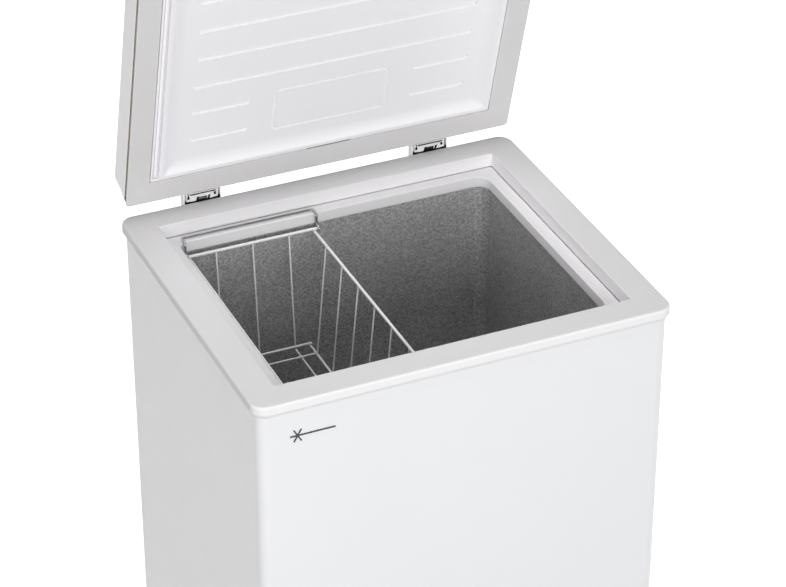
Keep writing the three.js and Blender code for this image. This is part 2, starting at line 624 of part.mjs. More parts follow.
/** A broad flat seal; its upper part is narrower, to fit inside the shell's wall. */
function lidGasket() {
  const lower = prism(rimOutline(GASKET_INSET, 5, LID_BACK - 2.1), RIM_TOP + 0.4, RIM_TOP + 3.2);
  const upper = prism(rimOutline(PANEL_INSET, PANEL_CORNER, LID_BACK - 5), RIM_TOP + 2.5,
    FLANGE_BOTTOM - GAP);
  const hole = prism(rimOutline(GASKET_INNER, 1, RIM_BACK - GASKET_INNER - 3.5), RIM_TOP, FAR);
  add('lid_gasket', cut(join(lower, upper), hole), GREY_RUBBER, lid);
}

function lidGrip() {
  const front = RIM_FRONT + LID_INSET - GAP;
  const bar = block([-75, front - 11, RIM_TOP + 8], [75, front, RIM_TOP + 25]);
  const scoop = block([-68, front - 8, 0], [68, front - 2, RIM_TOP + 21]);
  add('lid_grip', cut(bar, scoop), WHITE_PLASTIC, lid);
}

/** Swings the lid's group about the hinge pins from closed to open. */
function openLid() {
  const angle = -THREE.MathUtils.degToRad(LID_OPEN);
  const pivot = new THREE.Vector3(0, HINGE_Y, HINGE_Z);
  lid.rotation.x = angle;
  lid.position.copy(pivot).sub(pivot.clone().applyAxisAngle(new THREE.Vector3(1, 0, 0), angle));
}

// ---------------------------------------------------------------- wire basket

function basket() {
  const left = BASKET_X - BASKET_HALF_WIDTH;
  const right = BASKET_X + BASKET_HALF_WIDTH;
  const front = RIM_MIDDLE - BASKET_HALF_LENGTH;
  const back = RIM_MIDDLE + BASKET_HALF_LENGTH;
  const sideZ = BASKET_Z - 4.1;
  const overhang = 6.8;

  const ends = [front, back].map((y) =>
    rod([left - overhang, y, BASKET_Z], [right + overhang, y, BASKET_Z], ROD, 8));
  const sides = [left, right].map((x) =>
    rod([x, front - 1, sideZ], [x, back + 1, sideZ], ROD, 8));
  add('basket_rim', join(ends, sides), WIRE_WHITE);

  const bottom = BASKET_Z - BASKET_DEPTH;
  const lowLeft = left + BASKET_TAPER;
  const lowRight = right - BASKET_TAPER;
  const lowFront = front + BASKET_TAPER;
  const lowBack = back - BASKET_TAPER;
  const sideStations = Array.from({ length: 6 }, (_, i) => RIM_MIDDLE + 54.4 * (i - 2.5));
  const endStations = [-52.3, 0, 52.3].map((offset) => BASKET_X + offset);
  const foot = 1.8;

  const sideTop = sideZ - ROD - GAP;
  for (const [name, x, low] of [['left', left, lowLeft], ['right', right, lowRight]]) {
    const rail = rod([low, lowFront - 2, bottom], [low, lowBack + 2, bottom], foot, 8);
    const wires = sideStations.map((y) => rod([low, y, bottom], [x, y, sideTop], WIRE, 6));
    add(`basket_side_${name}`, join(rail, wires), WIRE_WHITE);
  }
  const endRail = bottom + 2 * foot + GAP;
  const endTop = BASKET_Z - ROD - GAP;
  for (const [name, y, low] of [['front', front, lowFront], ['rear', back, lowBack]]) {
    const rail = rod([lowLeft - 2, low, endRail], [lowRight + 2, low, endRail], foot, 8);
    const wires = endStations.map((x) => rod([x, low, endRail], [x, y, endTop], WIRE, 6));
    add(`basket_end_${name}`, join(rail, wires), WIRE_WHITE);
  }
  const reach = foot + GAP;
  const lengthwise = endStations.map((x) =>
    rod([x, lowFront + 1, bottom], [x, lowBack - 1, bottom], WIRE, 6));
  const across = sideStations.map((y) =>
    rod([lowLeft + reach, y, bottom + 2.4], [lowRight - reach, y, bottom + 2.4], WIRE, 6));
  add('basket_floor', join(lengthwise, across), WIRE_WHITE);

  for (const [name, y, outward] of [['front', front, -1], ['rear', back, 1]]) {
    const span = BASKET_HALF_WIDTH + 4.6;
    const leg = y + outward * 4.2;
    const grip = y + outward * 17.7;
    const gripZ = RIM_TOP - LEDGE_DROP + LOOP + 0.6;
    const path = roundCorners([
      [BASKET_X - span, leg, BASKET_Z], [BASKET_X - span, leg, gripZ], [BASKET_X - span, grip, gripZ],
      [BASKET_X + span, grip, gripZ], [BASKET_X + span, leg, gripZ], [BASKET_X + span, leg, BASKET_Z],
    ], 4.5, 2);
    const eyes = [-1, 1].map((side) => eye([BASKET_X + side * span, y, BASKET_Z], 4.4, LOOP));
    add(`basket_handle_${name}`, join(sweep(path, roundSection(LOOP, 6)), eyes), CHROME);
  }
}

outerWalls();
liner();
foam();
collar();
throat();
base();
drainParts();
compressorBay();
controls();
emblem();
hinge('left', -HINGE_X);
hinge('right', HINGE_X);
lidShell();
lidPanel();
lidFoam();
lidGasket();
lidGrip();
openLid();
basket();

export default freezer;
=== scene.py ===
# Looks for a small white chest freezer with its lid open.
# Every length is in metres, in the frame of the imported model: +Z up, -Y front, +X right.

import json
import math

import bmesh
import bpy
from mathutils import Matrix, Vector


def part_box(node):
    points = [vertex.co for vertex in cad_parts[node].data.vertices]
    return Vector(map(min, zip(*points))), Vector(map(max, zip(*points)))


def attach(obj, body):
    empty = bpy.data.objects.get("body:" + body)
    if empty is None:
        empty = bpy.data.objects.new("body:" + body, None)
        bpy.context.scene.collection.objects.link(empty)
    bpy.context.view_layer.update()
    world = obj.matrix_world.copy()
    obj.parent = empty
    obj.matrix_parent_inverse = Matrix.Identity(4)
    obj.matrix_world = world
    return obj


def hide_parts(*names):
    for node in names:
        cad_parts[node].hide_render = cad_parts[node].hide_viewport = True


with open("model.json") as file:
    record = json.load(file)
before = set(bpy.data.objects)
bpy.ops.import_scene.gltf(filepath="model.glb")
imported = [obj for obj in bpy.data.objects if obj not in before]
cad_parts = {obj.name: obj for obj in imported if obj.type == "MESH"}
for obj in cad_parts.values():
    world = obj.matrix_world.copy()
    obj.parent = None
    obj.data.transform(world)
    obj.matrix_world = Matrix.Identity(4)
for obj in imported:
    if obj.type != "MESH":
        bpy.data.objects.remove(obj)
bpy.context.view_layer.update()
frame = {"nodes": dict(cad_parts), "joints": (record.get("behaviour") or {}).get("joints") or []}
MM = 0.001

# ------------------------------------------------------------------ sizes read from the frame

collar_low, collar_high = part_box("top_collar")
RIM_X = collar_high[0]
RIM_FRONT = collar_low[1]
RIM_BACK = collar_high[1]
RIM_TOP = collar_high[2]
RIM_MIDDLE = (RIM_FRONT + RIM_BACK) / 2
joint = {j["name"]: j for j in frame["joints"]}
PIVOT = Vector(joint["lid_hinge"]["pos_m"])
LID_SWING = math.radians(-joint["lid_hinge"]["range_deg"][0])
LID_BACK = RIM_BACK - 2.6 * MM
LID_BOTTOM = RIM_TOP + 4.8 * MM
LID_TOP = RIM_TOP + 48.6 * MM
LID_INSET = 5                # millimetres from the collar's edge to the lid's sides and front
HINGE_X = 0.1675             # distance of each hinge from the middle
OPEN_LID = (Matrix.Translation(PIVOT)
            @ Matrix.Rotation(-LID_SWING, 4, "X")
            @ Matrix.Translation(-PIVOT))

# ------------------------------------------------------------------ camera, lights, floor

CAMERA_PLACE = (-1.31823, -2.99406, 2.81311)
CAMERA_AIM = (0.34241, 0.77364, -0.53314)
CAMERA_LENS = 135.3
FLOOR_HALF = 150
FAR_CLIP = 400
WORLD_STRENGTH = 0.22

scene = bpy.context.scene
scene.view_settings.view_transform = "Standard"


def make_camera():
    data = bpy.data.cameras.new("camera")
    data.sensor_width = 36
    data.lens = CAMERA_LENS
    data.clip_end = FAR_CLIP
    camera = bpy.data.objects.new("camera", data)
    scene.collection.objects.link(camera)
    camera.location = CAMERA_PLACE
    camera.rotation_euler = Vector(CAMERA_AIM).to_track_quat("-Z", "Y").to_euler()
    scene.camera = camera


def area_light(name, spot, target, size, watts, colour=(1, 1, 1)):
    data = bpy.data.lights.new(name, "AREA")
    data.shape = "RECTANGLE"
    data.size, data.size_y = size
    data.energy = watts
    data.color = colour
    light = bpy.data.objects.new(name, data)
    scene.collection.objects.link(light)
    light.location = spot
    aim = Vector(target) - Vector(spot)
    light.rotation_euler = aim.to_track_quat("-Z", "Y").to_euler()


def make_studio():
    world = bpy.data.worlds.new("studio")
    world.use_nodes = True
    background = world.node_tree.nodes["Background"]
    background.inputs["Color"].default_value = (1, 1, 1, 1)
    background.inputs["Strength"].default_value = WORLD_STRENGTH
    scene.world = world
    area_light("front", (-0.8, -4.2, 1.6), (0, 0, 0.8), (2.6, 2.6), 138)
    area_light("left", (-3.6, -0.6, 2.0), (0, 0, 0.7), (2.4, 2.4), 23, (1.0, 0.985, 0.975))
    # These two stay below the collar's top, so that they light only the rear and the right side.
    area_light("rear", (0.6, 4.2, 0.28), (0, 0, 0.5), (2.4, 0.5), 32)
    area_light("right", (3.6, -0.2, 0.38), (0, 0, 0.6), (2.4, 0.7), 22)
    area_light("top", (0.0, -0.6, 4.2), (0, 0, 0.7), (1.6, 1.6), 40)

    mesh = bpy.data.meshes.new("floor")
    corners = ((-1, -1), (1, -1), (1, 1), (-1, 1))
    mesh.from_pydata([(x * FLOOR_HALF, y * FLOOR_HALF, 0) for x, y in corners], [], [(0, 1, 2, 3)])
    floor = bpy.data.objects.new("floor", mesh)
    scene.collection.objects.link(floor)
    pale = material("pale_floor", (0.85, 0.85, 0.85), 0.8, mottle=0.01)
    glow = pale.node_tree.nodes["Principled BSDF"]
    glow.inputs["Emission Color"].default_value = (1, 1, 1, 1)
    glow.inputs["Emission Strength"].default_value = 1.0
    mesh.materials.append(pale)
    floor.visible_diffuse = False        # the glowing floor lights nothing


# ------------------------------------------------------------------ materials

def material(name, colour, rough, metal=0.0, mottle=0.02, mottle_scale=6.0, grain=0.0,
             grain_scale=900.0, rough_spread=0.04, coat=0.0, specular=None):
    """A surface whose colour, roughness and relief all vary with noise."""
    made = bpy.data.materials.new(name)
    made.use_nodes = True
    nodes, links = made.node_tree.nodes, made.node_tree.links
    shader = nodes["Principled BSDF"]
    shader.inputs["Metallic"].default_value = metal
    shader.inputs["Coat Weight"].default_value = coat
    shader.inputs["Coat Roughness"].default_value = 0.15
    if specular is not None:
        shader.inputs["Specular IOR Level"].default_value = specular
    coordinates = nodes.new("ShaderNodeTexCoord").outputs["Object"]

    def noise(scale, detail=3.0):
        node = nodes.new("ShaderNodeTexNoise")
        node.inputs["Scale"].default_value = scale
        node.inputs["Detail"].default_value = detail
        links.new(coordinates, node.inputs["Vector"])
        return node.outputs["Fac"]

    def spread(source, low, high):
        node = nodes.new("ShaderNodeMapRange")
        node.inputs["From Min"].default_value = 0.3
        node.inputs["From Max"].default_value = 0.7
        node.inputs["To Min"].default_value = low
        node.inputs["To Max"].default_value = high
        links.new(source, node.inputs["Value"])
        return node.outputs["Result"]

    blend = nodes.new("ShaderNodeMix")
    blend.data_type = "RGBA"
    blend.inputs["A"].default_value = (*[c * (1 - mottle) for c in colour], 1)
    blend.inputs["B"].default_value = (*[min(c * (1 + mottle), 1) for c in colour], 1)
    links.new(spread(noise(mottle_scale), 0, 1), blend.inputs["Factor"])
    links.new(blend.outputs["Result"], shader.inputs["Base Color"])
    links.new(spread(noise(mottle_scale * 9), rough - rough_spread, rough + rough_spread),
              shader.inputs["Roughness"])
    if grain:
        bump = nodes.new("ShaderNodeBump")
        bump.inputs["Strength"].default_value = grain
        bump.inputs["Distance"].default_value = 0.0003
        links.new(noise(grain_scale, 2.0), bump.inputs["Height"])
        links.new(bump.outputs["Normal"], shader.inputs["Normal"])
    return made


def stucco_material():
    """Embossed aluminium: pebbles pressed into bare metal, each catching the light its own way; each
    pebble's colour is also darkened at random, a painted light and shade.
    """
    made = material("stucco_aluminium", (0.74, 0.73, 0.74), 0.42, metal=0.62, mottle=0.05,
                    mottle_scale=14.0, rough_spread=0.08)
    nodes, links = made.node_tree.nodes, made.node_tree.links
    shader = nodes["Principled BSDF"]
    coordinates = nodes.new("ShaderNodeTexCoord").outputs["Object"]
    pebbles = nodes.new("ShaderNodeTexVoronoi")
    pebbles.feature = "F1"
    pebbles.inputs["Scale"].default_value = 600
    pebbles.inputs["Randomness"].default_value = 0.9
    links.new(coordinates, pebbles.inputs["Vector"])
    bump = nodes.new("ShaderNodeBump")
    bump.inputs["Strength"].default_value = 1.0
    bump.inputs["Distance"].default_value = 0.0007
    bump.invert = True
    links.new(pebbles.outputs["Distance"], bump.inputs["Height"])
    links.new(bump.outputs["Normal"], shader.inputs["Normal"])

    # Painted light and shade: each pebble's colour is scaled between half and full, for how that pebble
    # catches the light.
    facets = nodes.new("ShaderNodeSeparateColor")
    links.new(pebbles.outputs["Color"], facets.inputs["Color"])
    painted_sheen = nodes.new("ShaderNodeMapRange")
    painted_sheen.inputs["To Min"].default_value = 0.5
    painted_sheen.inputs["To Max"].default_value = 1.0
    links.new(facets.outputs["Red"], painted_sheen.inputs["Value"])
    base = shader.inputs["Base Color"].links[0].from_socket
    painted_sheen_mix = nodes.new("ShaderNodeMix")
    painted_sheen_mix.data_type = "RGBA"
    painted_sheen_mix.blend_type = "MULTIPLY"
    painted_sheen_mix.inputs["Factor"].default_value = 1.0
    links.new(base, painted_sheen_mix.inputs["A"])
    links.new(painted_sheen.outputs["Result"], painted_sheen_mix.inputs["B"])
    links.new(painted_sheen_mix.outputs["Result"], shader.inputs["Base Color"])
    return made


WHITE_STEEL = material("white_steel", (0.80, 0.805, 0.82), 0.34, mottle=0.008, grain=0.06,
                       grain_scale=500, coat=0.2)
LID_STEEL = material("lid_white_steel", (0.92, 0.915, 0.925), 0.34, mottle=0.008, grain=0.05,
                     grain_scale=500, coat=0.2)
COLLAR_PLASTIC = material("collar_plastic", (0.865, 0.855, 0.865), 0.6, mottle=0.008, grain=0.10,
                          grain_scale=1800, specular=0.3)
COVER_PLASTIC = material("cover_plastic", (0.97, 0.96, 0.965), 0.4, mottle=0.008, grain=0.06,
                         grain_scale=1200)
LINER_PLASTIC = material("lid_panel_plastic", (0.92, 0.91, 0.935), 0.4, mottle=0.008, grain=0.04,
                         grain_scale=700)
SEAL_RUBBER = material("seal_rubber", (0.69, 0.68, 0.685), 0.6, mottle=0.02, grain=0.12,
                       grain_scale=1500)
STUCCO = stucco_material()
ZINC = material("zinc_plate", (0.62, 0.62, 0.63), 0.3, metal=1.0, mottle=0.12, mottle_scale=90,
                grain=0.1, rough_spread=0.1)
CHROME = material("chrome_wire", (0.54, 0.54, 0.55), 0.13, metal=1.0, mottle=0.04,
                  mottle_scale=60, rough_spread=0.05)
WIRE_COAT = material("white_wire_coat", (0.95, 0.95, 0.95), 0.3, mottle=0.02, mottle_scale=50,
                     grain=0.08, grain_scale=1200, coat=0.3)
FOAM = material("rigid_foam", (0.78, 0.70, 0.46), 0.9, mottle=0.12, mottle_scale=60, grain=0.8,
                grain_scale=500)
BLACK_PLASTIC = material("black_plastic", (0.02, 0.02, 0.022), 0.5, mottle=0.15, grain=0.3,
                         grain_scale=1400)
BLACK_RUBBER = material("black_rubber", (0.03, 0.03, 0.03), 0.8, mottle=0.15, grain=0.4)
BLACK_STEEL = material("black_steel", (0.015, 0.015, 0.017), 0.28, mottle=0.1, grain=0.08,
                       coat=0.4)
COPPER = material("copper", (0.72, 0.36, 0.22), 0.28, metal=1.0, mottle=0.15, mottle_scale=40,
                  rough_spread=0.1)
MARK = material("grey_print", (0.03, 0.028, 0.028), 0.4, mottle=0.05, mottle_scale=80)
HINGE_STEEL = material("hinge_steel", (0.95, 0.95, 0.96), 0.3, metal=0.2, mottle=0.06,
                       mottle_scale=120, grain=0.08, coat=0.4)
GREY_STEEL = material("grey_steel", (0.16, 0.16, 0.165), 0.35, metal=0.4, mottle=0.3,
                      mottle_scale=160, grain=0.2)
# Painted shade: grey_steel made darker still for the right hinge's block; both blocks are the same part.
DARK_STEEL_AND_SHADE = material("dark_steel_and_painted_shade", (0.028, 0.022, 0.02), 0.4, metal=0.2, mottle=0.4,
                      mottle_scale=160, grain=0.2)
# Painted shade: near-black for the strips that stand in for the shadow in the hinges' gaps.
PAINTED_SHADE_BLACK = material("painted_shade_black", (0.005, 0.004, 0.004), 0.95, mottle=0.2, mottle_scale=80,
                      specular=0.1)
# Painted shade: the grey of the strip that stands in for the shadow under the lid panel's back edge.
PAINTED_SHADE_GREY = material("painted_shade_grey", (0.22, 0.21, 0.21), 0.6, mottle=0.1, grain=0.2)
LENS = material("green_lens", (0.05, 0.45, 0.12), 0.15, mottle=0.1, mottle_scale=300, coat=0.6)

# ------------------------------------------------------------------ mesh building

WALL_STEPS = 10              # points along each round corner of the cabinet and the lid
PANEL_STEPS = 6              # the same on the parts under the lid
WELD = 2e-6


def outline(x0, x1, y0, y1, radius, z, steps, left_radius=None):
    """Points round a rectangle with round corners, anticlockwise from above."""
    right = max(radius, 1e-5)
    left = max(left_radius or radius, 1e-5)
    points = []
    for cx, cy, start, r in (
            (x1 - right, y0 + right, -90, right), (x1 - right, y1 - right, 0, right),
            (x0 + left, y1 - left, 90, left), (x0 + left, y0 + left, 180, left)):
        for i in range(steps + 1):
            angle = math.radians(start + 90 * i / steps)
            points.append((cx + r * math.cos(angle), cy + r * math.sin(angle), z))
    return points


def around_rim(inset, z, radius, back=RIM_BACK, left_radius=None):
    """The collar's outline moved inwards; inset and radii are in millimetres."""
    inset, radius = inset * MM, radius * MM
    left = left_radius * MM if left_radius else None
    return outline(-RIM_X + inset, RIM_X - inset, RIM_FRONT + inset, back - inset, radius, z,
                   WALL_STEPS, left)


def finish_mesh(mesh, angle=35):
    """Welds, turns faces outwards, smooths, and keeps edges sharper than the angle."""
    work = bmesh.new()
    work.from_mesh(mesh)
    bmesh.ops.remove_doubles(work, verts=work.verts, dist=WELD)
    bmesh.ops.dissolve_degenerate(work, edges=work.edges, dist=1e-6)
    bmesh.ops.recalc_face_normals(work, faces=work.faces)
    work.to_mesh(mesh)
    work.free()
    for polygon in mesh.polygons:
        polygon.use_smooth = True
    mesh.set_sharp_from_angle(angle=math.radians(angle))


def place(name, mesh, surface, body, nodes, angle=35):
    """Makes the finished piece: material, body, and the CAD nodes that it stands for."""
    finish_mesh(mesh, angle)
    piece = bpy.data.objects.new(name, mesh)
    scene.collection.objects.link(piece)
    mesh.materials.append(surface)
    weigh = piece.modifiers.new("weigh", "WEIGHTED_NORMAL")
    weigh.keep_sharp = True
    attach(piece, body)
    if nodes:
        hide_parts(*nodes)


def loft(loops, ring=False):
    """A skin through equal loops; a ring closes on itself, otherwise both ends are capped."""
    count = len(loops[0])
    vertices = [point for loop in loops for point in loop]
    faces = []
    spans = len(loops) if ring else len(loops) - 1
    for k in range(spans):
        a, b = k * count, (k + 1) % len(loops) * count
        for i in range(count):
            j = (i + 1) % count
            faces.append((a + i, a + j, b + j, b + i))
    if not ring:
        faces.append(tuple(range(count))[::-1])
        faces.append(tuple((len(loops) - 1) * count + i for i in range(count)))
    return vertices, faces


def build(name, *shells):
    """One mesh from several (vertices, faces) shells."""
    vertices, faces = [], []
    for shell_vertices, shell_faces in shells:
        offset = len(vertices)
        vertices.extend(shell_vertices)
        faces.extend(tuple(i + offset for i in face) for face in shell_faces)
    mesh = bpy.data.meshes.new(name)
    mesh.from_pydata([tuple(v) for v in vertices], [], faces)
    return mesh


def shell_of(mesh):
    """The (vertices, faces) of a mesh."""
    return [tuple(v.co) for v in mesh.vertices], [tuple(p.vertices) for p in mesh.polygons]


def box_centre(name):
    """The middle of a CAD node's box."""
    return [(a + b) / 2 for a, b in zip(*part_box(name))]


def quarter(steps):
    """Angles from 0 to a right angle, in even steps."""
    return [math.pi / 2 * i / steps for i in range(steps + 1)]


def soft_box(low, high, radius=0.6 * MM, corner=None, steps=3):
    """A block with rounded edges."""
    (x0, y0, z0), (x1, y1, z1) = low, high
    corner = max(corner or 0, radius)
    rounding = [(radius * (1 - math.sin(a)), radius * (1 - math.cos(a))) for a in quarter(steps)]
    levels = [(inset, z0 + rise) for inset, rise in rounding]
    levels += [(inset, z1 - drop) for inset, drop in reversed(rounding)]
    return loft([outline(x0 + inset, x1 - inset, y0 + inset, y1 - inset, corner - inset, z, steps)
                 for inset, z in levels])


def circle(middle, side, other, radius, sides):
    """Points round a circle that lies along the two directions."""
    turns = [2 * math.pi * i / sides for i in range(sides)]
    return [tuple(middle + (side * math.cos(a) + other * math.sin(a)) * radius) for a in turns]


def turned(centre, axis, profile, sides=40):
    """A turned shell; the profile lists (radius, distance along the axis)."""
    axis = Vector(axis).normalized()
    side = axis.orthogonal().normalized()
    other = axis.cross(side)
    return loft([circle(Vector(centre) + axis * along, side, other, max(radius, 1e-6), sides)
                 for radius, along in profile])


def bend_corners(points, radius):
    """Rounds the corners of a path."""
    steps = 6
    out = [Vector(points[0])]
    for before, corner, after in zip(points, points[1:], points[2:]):
        corner = Vector(corner)
        a = (Vector(before) - corner).normalized()
        b = (Vector(after) - corner).normalized()
        half = a.angle(b) / 2
        reach = radius / math.tan(half)
        centre = corner + (a + b).normalized() * radius / math.sin(half)
        start, end = corner + a * reach - centre, corner + b * reach - centre
        sweep = start.angle(end)
        for k in range(steps + 1):
            share = k / steps
            out.append(centre + (start * math.sin(sweep * (1 - share))
                                 + end * math.sin(sweep * share)) / math.sin(sweep))
    out.append(Vector(points[-1]))
    return out


def wire(points, radius, sides=12, closed=False):
    """A round wire along a path; its ends are eased."""
    points = [Vector(p) for p in points]
    tangents = []
    count = len(points)
    for i in range(count):
        before = points[i - 1] if (i or closed) else points[i]
        after = points[(i + 1) % count] if (i < count - 1 or closed) else points[i]
        tangents.append((after - before).normalized())
    normal = tangents[0].orthogonal().normalized()
    loops = []
    for i, (point, tangent) in enumerate(zip(points, tangents)):
        normal = (normal - tangent * normal.dot(tangent)).normalized()
        rings = [(0, 1)]                 # shares of the radius: along the path, and across it
        if i == 0 and not closed:
            rings = [(0.02, 0.55), (0.35, 0.92)]
        elif i == count - 1 and not closed:
            rings = [(-0.35, 0.92), (-0.02, 0.55)]
        other = tangent.cross(normal).normalized()
        loops += [circle(point + tangent * radius * along, normal, other, radius * size, sides)
                  for along, size in rings]
    return loft(loops, ring=closed)


def cut_mesh(mesh, *tools):
    """Subtracts shells from a mesh."""
    target = bpy.data.objects.new("cutting", mesh)
    scene.collection.objects.link(target)
    helpers = []
    for shell in tools:
        tool_mesh = build("tool", shell)
        finish_mesh(tool_mesh)
        tool = bpy.data.objects.new("tool", tool_mesh)
        scene.collection.objects.link(tool)
        helpers.append(tool)
        modifier = target.modifiers.new("cut", "BOOLEAN")
        modifier.operation = "DIFFERENCE"
        modifier.solver = "EXACT"
        modifier.object = tool
    bpy.context.view_layer.update()
    result = bpy.data.meshes.new_from_object(
        target.evaluated_get(bpy.context.evaluated_depsgraph_get()))
    for helper in helpers + [target]:
        bpy.data.objects.remove(helper)
    return result


# ------------------------------------------------------------------ cabinet

def keep_side(mesh, y, front):
    """Cuts a mesh across at y and keeps one side, with the cut closed."""
    work = bmesh.new()
    work.from_mesh(mesh)
    bmesh.ops.remove_doubles(work, verts=work.verts, dist=WELD)
    cut = bmesh.ops.bisect_plane(work, geom=work.verts[:] + work.edges[:] + work.faces[:],
                                 plane_co=(0, y, 0), plane_no=(0, 1, 0),
                                 clear_outer=front, clear_inner=not front)
    edges = [e for e in cut["geom_cut"] if isinstance(e, bmesh.types.BMEdge)]
    bmesh.ops.holes_fill(work, edges=edges)
    work.to_mesh(mesh)
    work.free()


def wall_tube(bottom, top):
    """The bent sheet that forms all four walls, with its lower edge turned in."""
    loops = [around_rim(i, z, r) for i, z, r in (
        (5.0, top, 15), (5.0, bottom + 1.2 * MM, 15), (5.35, bottom + 0.35 * MM, 14.6),
        (6.2, bottom, 13.8), (7.6, bottom, 12.4), (7.6, bottom + 0.9 * MM, 12.4),
        (6.0, bottom + 1.5 * MM, 14), (6.0, top, 14))]
    return build("walls", loft(loops, ring=True))


def slot_hole(x, y, z, width, length):
    """A cutter for an upright slot with round ends, through a side wall."""
    half, reach = width / 2, length / 2 - width / 2
    shape = []
    for start, shift in ((0, reach), (180, -reach)):
        for i in range(9):
            angle = math.radians(start + 180 * i / 8)
            shape.append((half * math.cos(angle), shift + half * math.sin(angle)))
    depth = 6 * MM
    return loft([[(x + d, y + a, z + b) for a, b in shape] for d in (-depth, depth)])


def make_walls():
    low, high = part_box("outer_wrapper")
    rear_low, rear_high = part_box("rear_panel")
    front = wall_tube(low[2], high[2])
    keep_side(front, high[1], True)
    panel_low, panel_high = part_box("control_panel")
    edge = 7.5 * MM
    hole = soft_box((panel_low[0] + edge, low[1] - 0.02, panel_low[2] + edge),
                    (panel_high[0] - edge, low[1] + 0.02, panel_high[2] - edge), 0.1 * MM)
    vent_width, vent_height, vent_middle = 7 * MM, 80 * MM, 110 * MM
    slots = [slot_hole(high[0], (-120 + 26 * i) * MM + vent_width / 2, vent_middle, vent_width,
                       vent_height) for i in range(8)]
    front = cut_mesh(front, hole, *slots)
    place("cabinet_skin", front, WHITE_STEEL, "cabinet", ["outer_wrapper"])

    rear = wall_tube(rear_low[2], rear_high[2])
    keep_side(rear, rear_low[1], False)
    before, behind = RIM_BACK - 0.03, RIM_BACK + 0.03
    grille = soft_box((0.146, before, 0.066), (0.262, behind, 0.232), 0.1 * MM, corner=4 * MM)
    gland = turned((0.245, before, 0.040), (0, 1, 0), [(0.0083, 0), (0.0083, 0.06)])
    rear = cut_mesh(rear, grille, gland)
    place("rear_skin", rear, WHITE_STEEL, "cabinet", ["rear_panel"])


def make_collar():
    top = RIM_TOP
    profile = [  # inset, drop below the top, corner radius, all in millimetres
        (4.8, 17.9, 15.2), (4.0, 17.9, 16.0), (3.6, 17.6, 16.4), (0.5, 12.6, 19.5), (0.1, 11.9, 19.9),
        (0, 11.2, 20), (0, 3.2, 20), (0.12, 2.2, 19.9), (0.5, 1.3, 19.5), (1.1, 0.62, 18.9),
        (1.9, 0.2, 18.1), (3.0, 0.02, 17), (6.0, 0, 14), (30, 0, 6), (40.4, 0, 3.4), (41.2, 0.05, 3.0),
        (41.7, 0.25, 2.8), (41.95, 0.65, 2.7), (42.05, 1.2, 2.6), (42.25, 10.0, 2.6), (42.5, 18.6, 2.6),
        (42.4, 19.5, 2.6), (42.1, 20.1, 2.7), (39.6, 20.1, 4), (39.6, 2.7, 4), (5.6, 2.7, 14.4),
        (4.8, 3.4, 15.2)]
    loops = [around_rim(i, top - d * MM, r) for i, d, r in profile]
    place("collar", build("collar", loft(loops, ring=True)), COLLAR_PLASTIC, "cabinet",
          ["top_collar"], 50)

    profile = [  # the ledge starts with the narrow groove at the foot of the step
        (36.2, 21.9, 8), (43.1, 21.9, 2.4), (43.6, 21.8, 2.3), (43.75, 20.2, 2.3), (43.95, 19.75, 2.4),
        (44.5, 19.6, 3.2), (52, 19.5, 10), (59.4, 19.5, 17), (60.4, 19.55, 17.8), (61.2, 19.8, 18.2),
        (61.6, 20.3, 18.4), (61.7, 21.0, 18.4), (61.35, 33.6, 18.4), (61.1, 35.1, 18.4),
        (60.5, 35.9, 18.6), (59.5, 35.9, 18.8), (59.4, 35.2, 18.9), (59.4, 23.6, 18.9), (36.2, 23.6, 8)]
    # The lip's left corners are tighter, to leave room for the basket's handles.
    loops = [around_rim(i, top - d * MM, r, left_radius=min(r, 14.0)) for i, d, r in profile]
    place("throat", build("throat", loft(loops, ring=True)), COLLAR_PLASTIC, "cabinet",
          ["throat_frame"], 50)


LINER_INSET = 59             # the lining's inner face, in millimetres from the collar's edge
LINER_CORNER = 19
LINER_SHEET = 0.95 * MM
SHELF_X, SHELF_TOP = 0.077, 0.305       # left side and top of the raised floor
SHELF_REACH = 0.5            # the block that leaves the raised floor goes on past the tub


def tub_skin(grow, floor, top):
    """The tub grown outwards, with a rounded foot."""
    bend, inset, corner = 14.0, LINER_INSET - grow / MM, LINER_CORNER + grow / MM
    loops = []
    for angle in quarter(6):
        into = bend * (1 - math.sin(angle))
        rise = bend * MM * (1 - math.cos(angle))
        loops.append(around_rim(inset + into, floor - grow + rise, max(corner - into, 3)))
    loops.append(around_rim(inset, top, corner))
    return loft(loops)


def shelf_block(grow):
    """What the raised floor takes out of the tub, with a rounded upper edge."""
    bend = 3.5 * MM + grow
    x, z = SHELF_X + grow, SHELF_TOP - grow
    path = [(x, -SHELF_REACH)]
    path += [(x + bend * (1 - math.cos(a)), z - bend * (1 - math.sin(a))) for a in quarter(6)]
    path += [(SHELF_REACH, z), (SHELF_REACH, -SHELF_REACH)]
    return loft([[(x, y, z) for x, z in path] for y in (-0.4, 0.4)])


def make_liner():
    """The embossed metal lining: a deep tub with a rounded foot and a raised floor on the right."""
    low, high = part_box("inner_liner")
    floor = low[2] + 1 * MM
    outside = cut_mesh(build("tub", tub_skin(LINER_SHEET, floor, high[2])), shelf_block(LINER_SHEET))
    x, y, _ = box_centre("drain_plug")
    hole = turned((x, y, floor - 0.02), (0, 0, 1), [(9.3 * MM, 0), (9.3 * MM, 0.04)])
    room = cut_mesh(build("room", tub_skin(0, floor, high[2] + 0.05)), shelf_block(0))
    tub = cut_mesh(outside, shell_of(room), hole)
    place("metal_liner", tub, STUCCO, "cabinet", ["inner_liner"], 40)


# ------------------------------------------------------------------ lid, built closed and then opened

LID_ROUND = 6.5              # rounding of the lid's upper edge, in millimetres
LID_SHEET = 0.8
EDGE_DROP = 0.9              # how far the lid's crown falls from its middle to its edge


def lid_loop(inset, z, radius):
    """An outline of the lid; its back edge stands clear of the collar's."""
    return around_rim(inset, z, radius, back=LID_BACK + LID_INSET * MM)


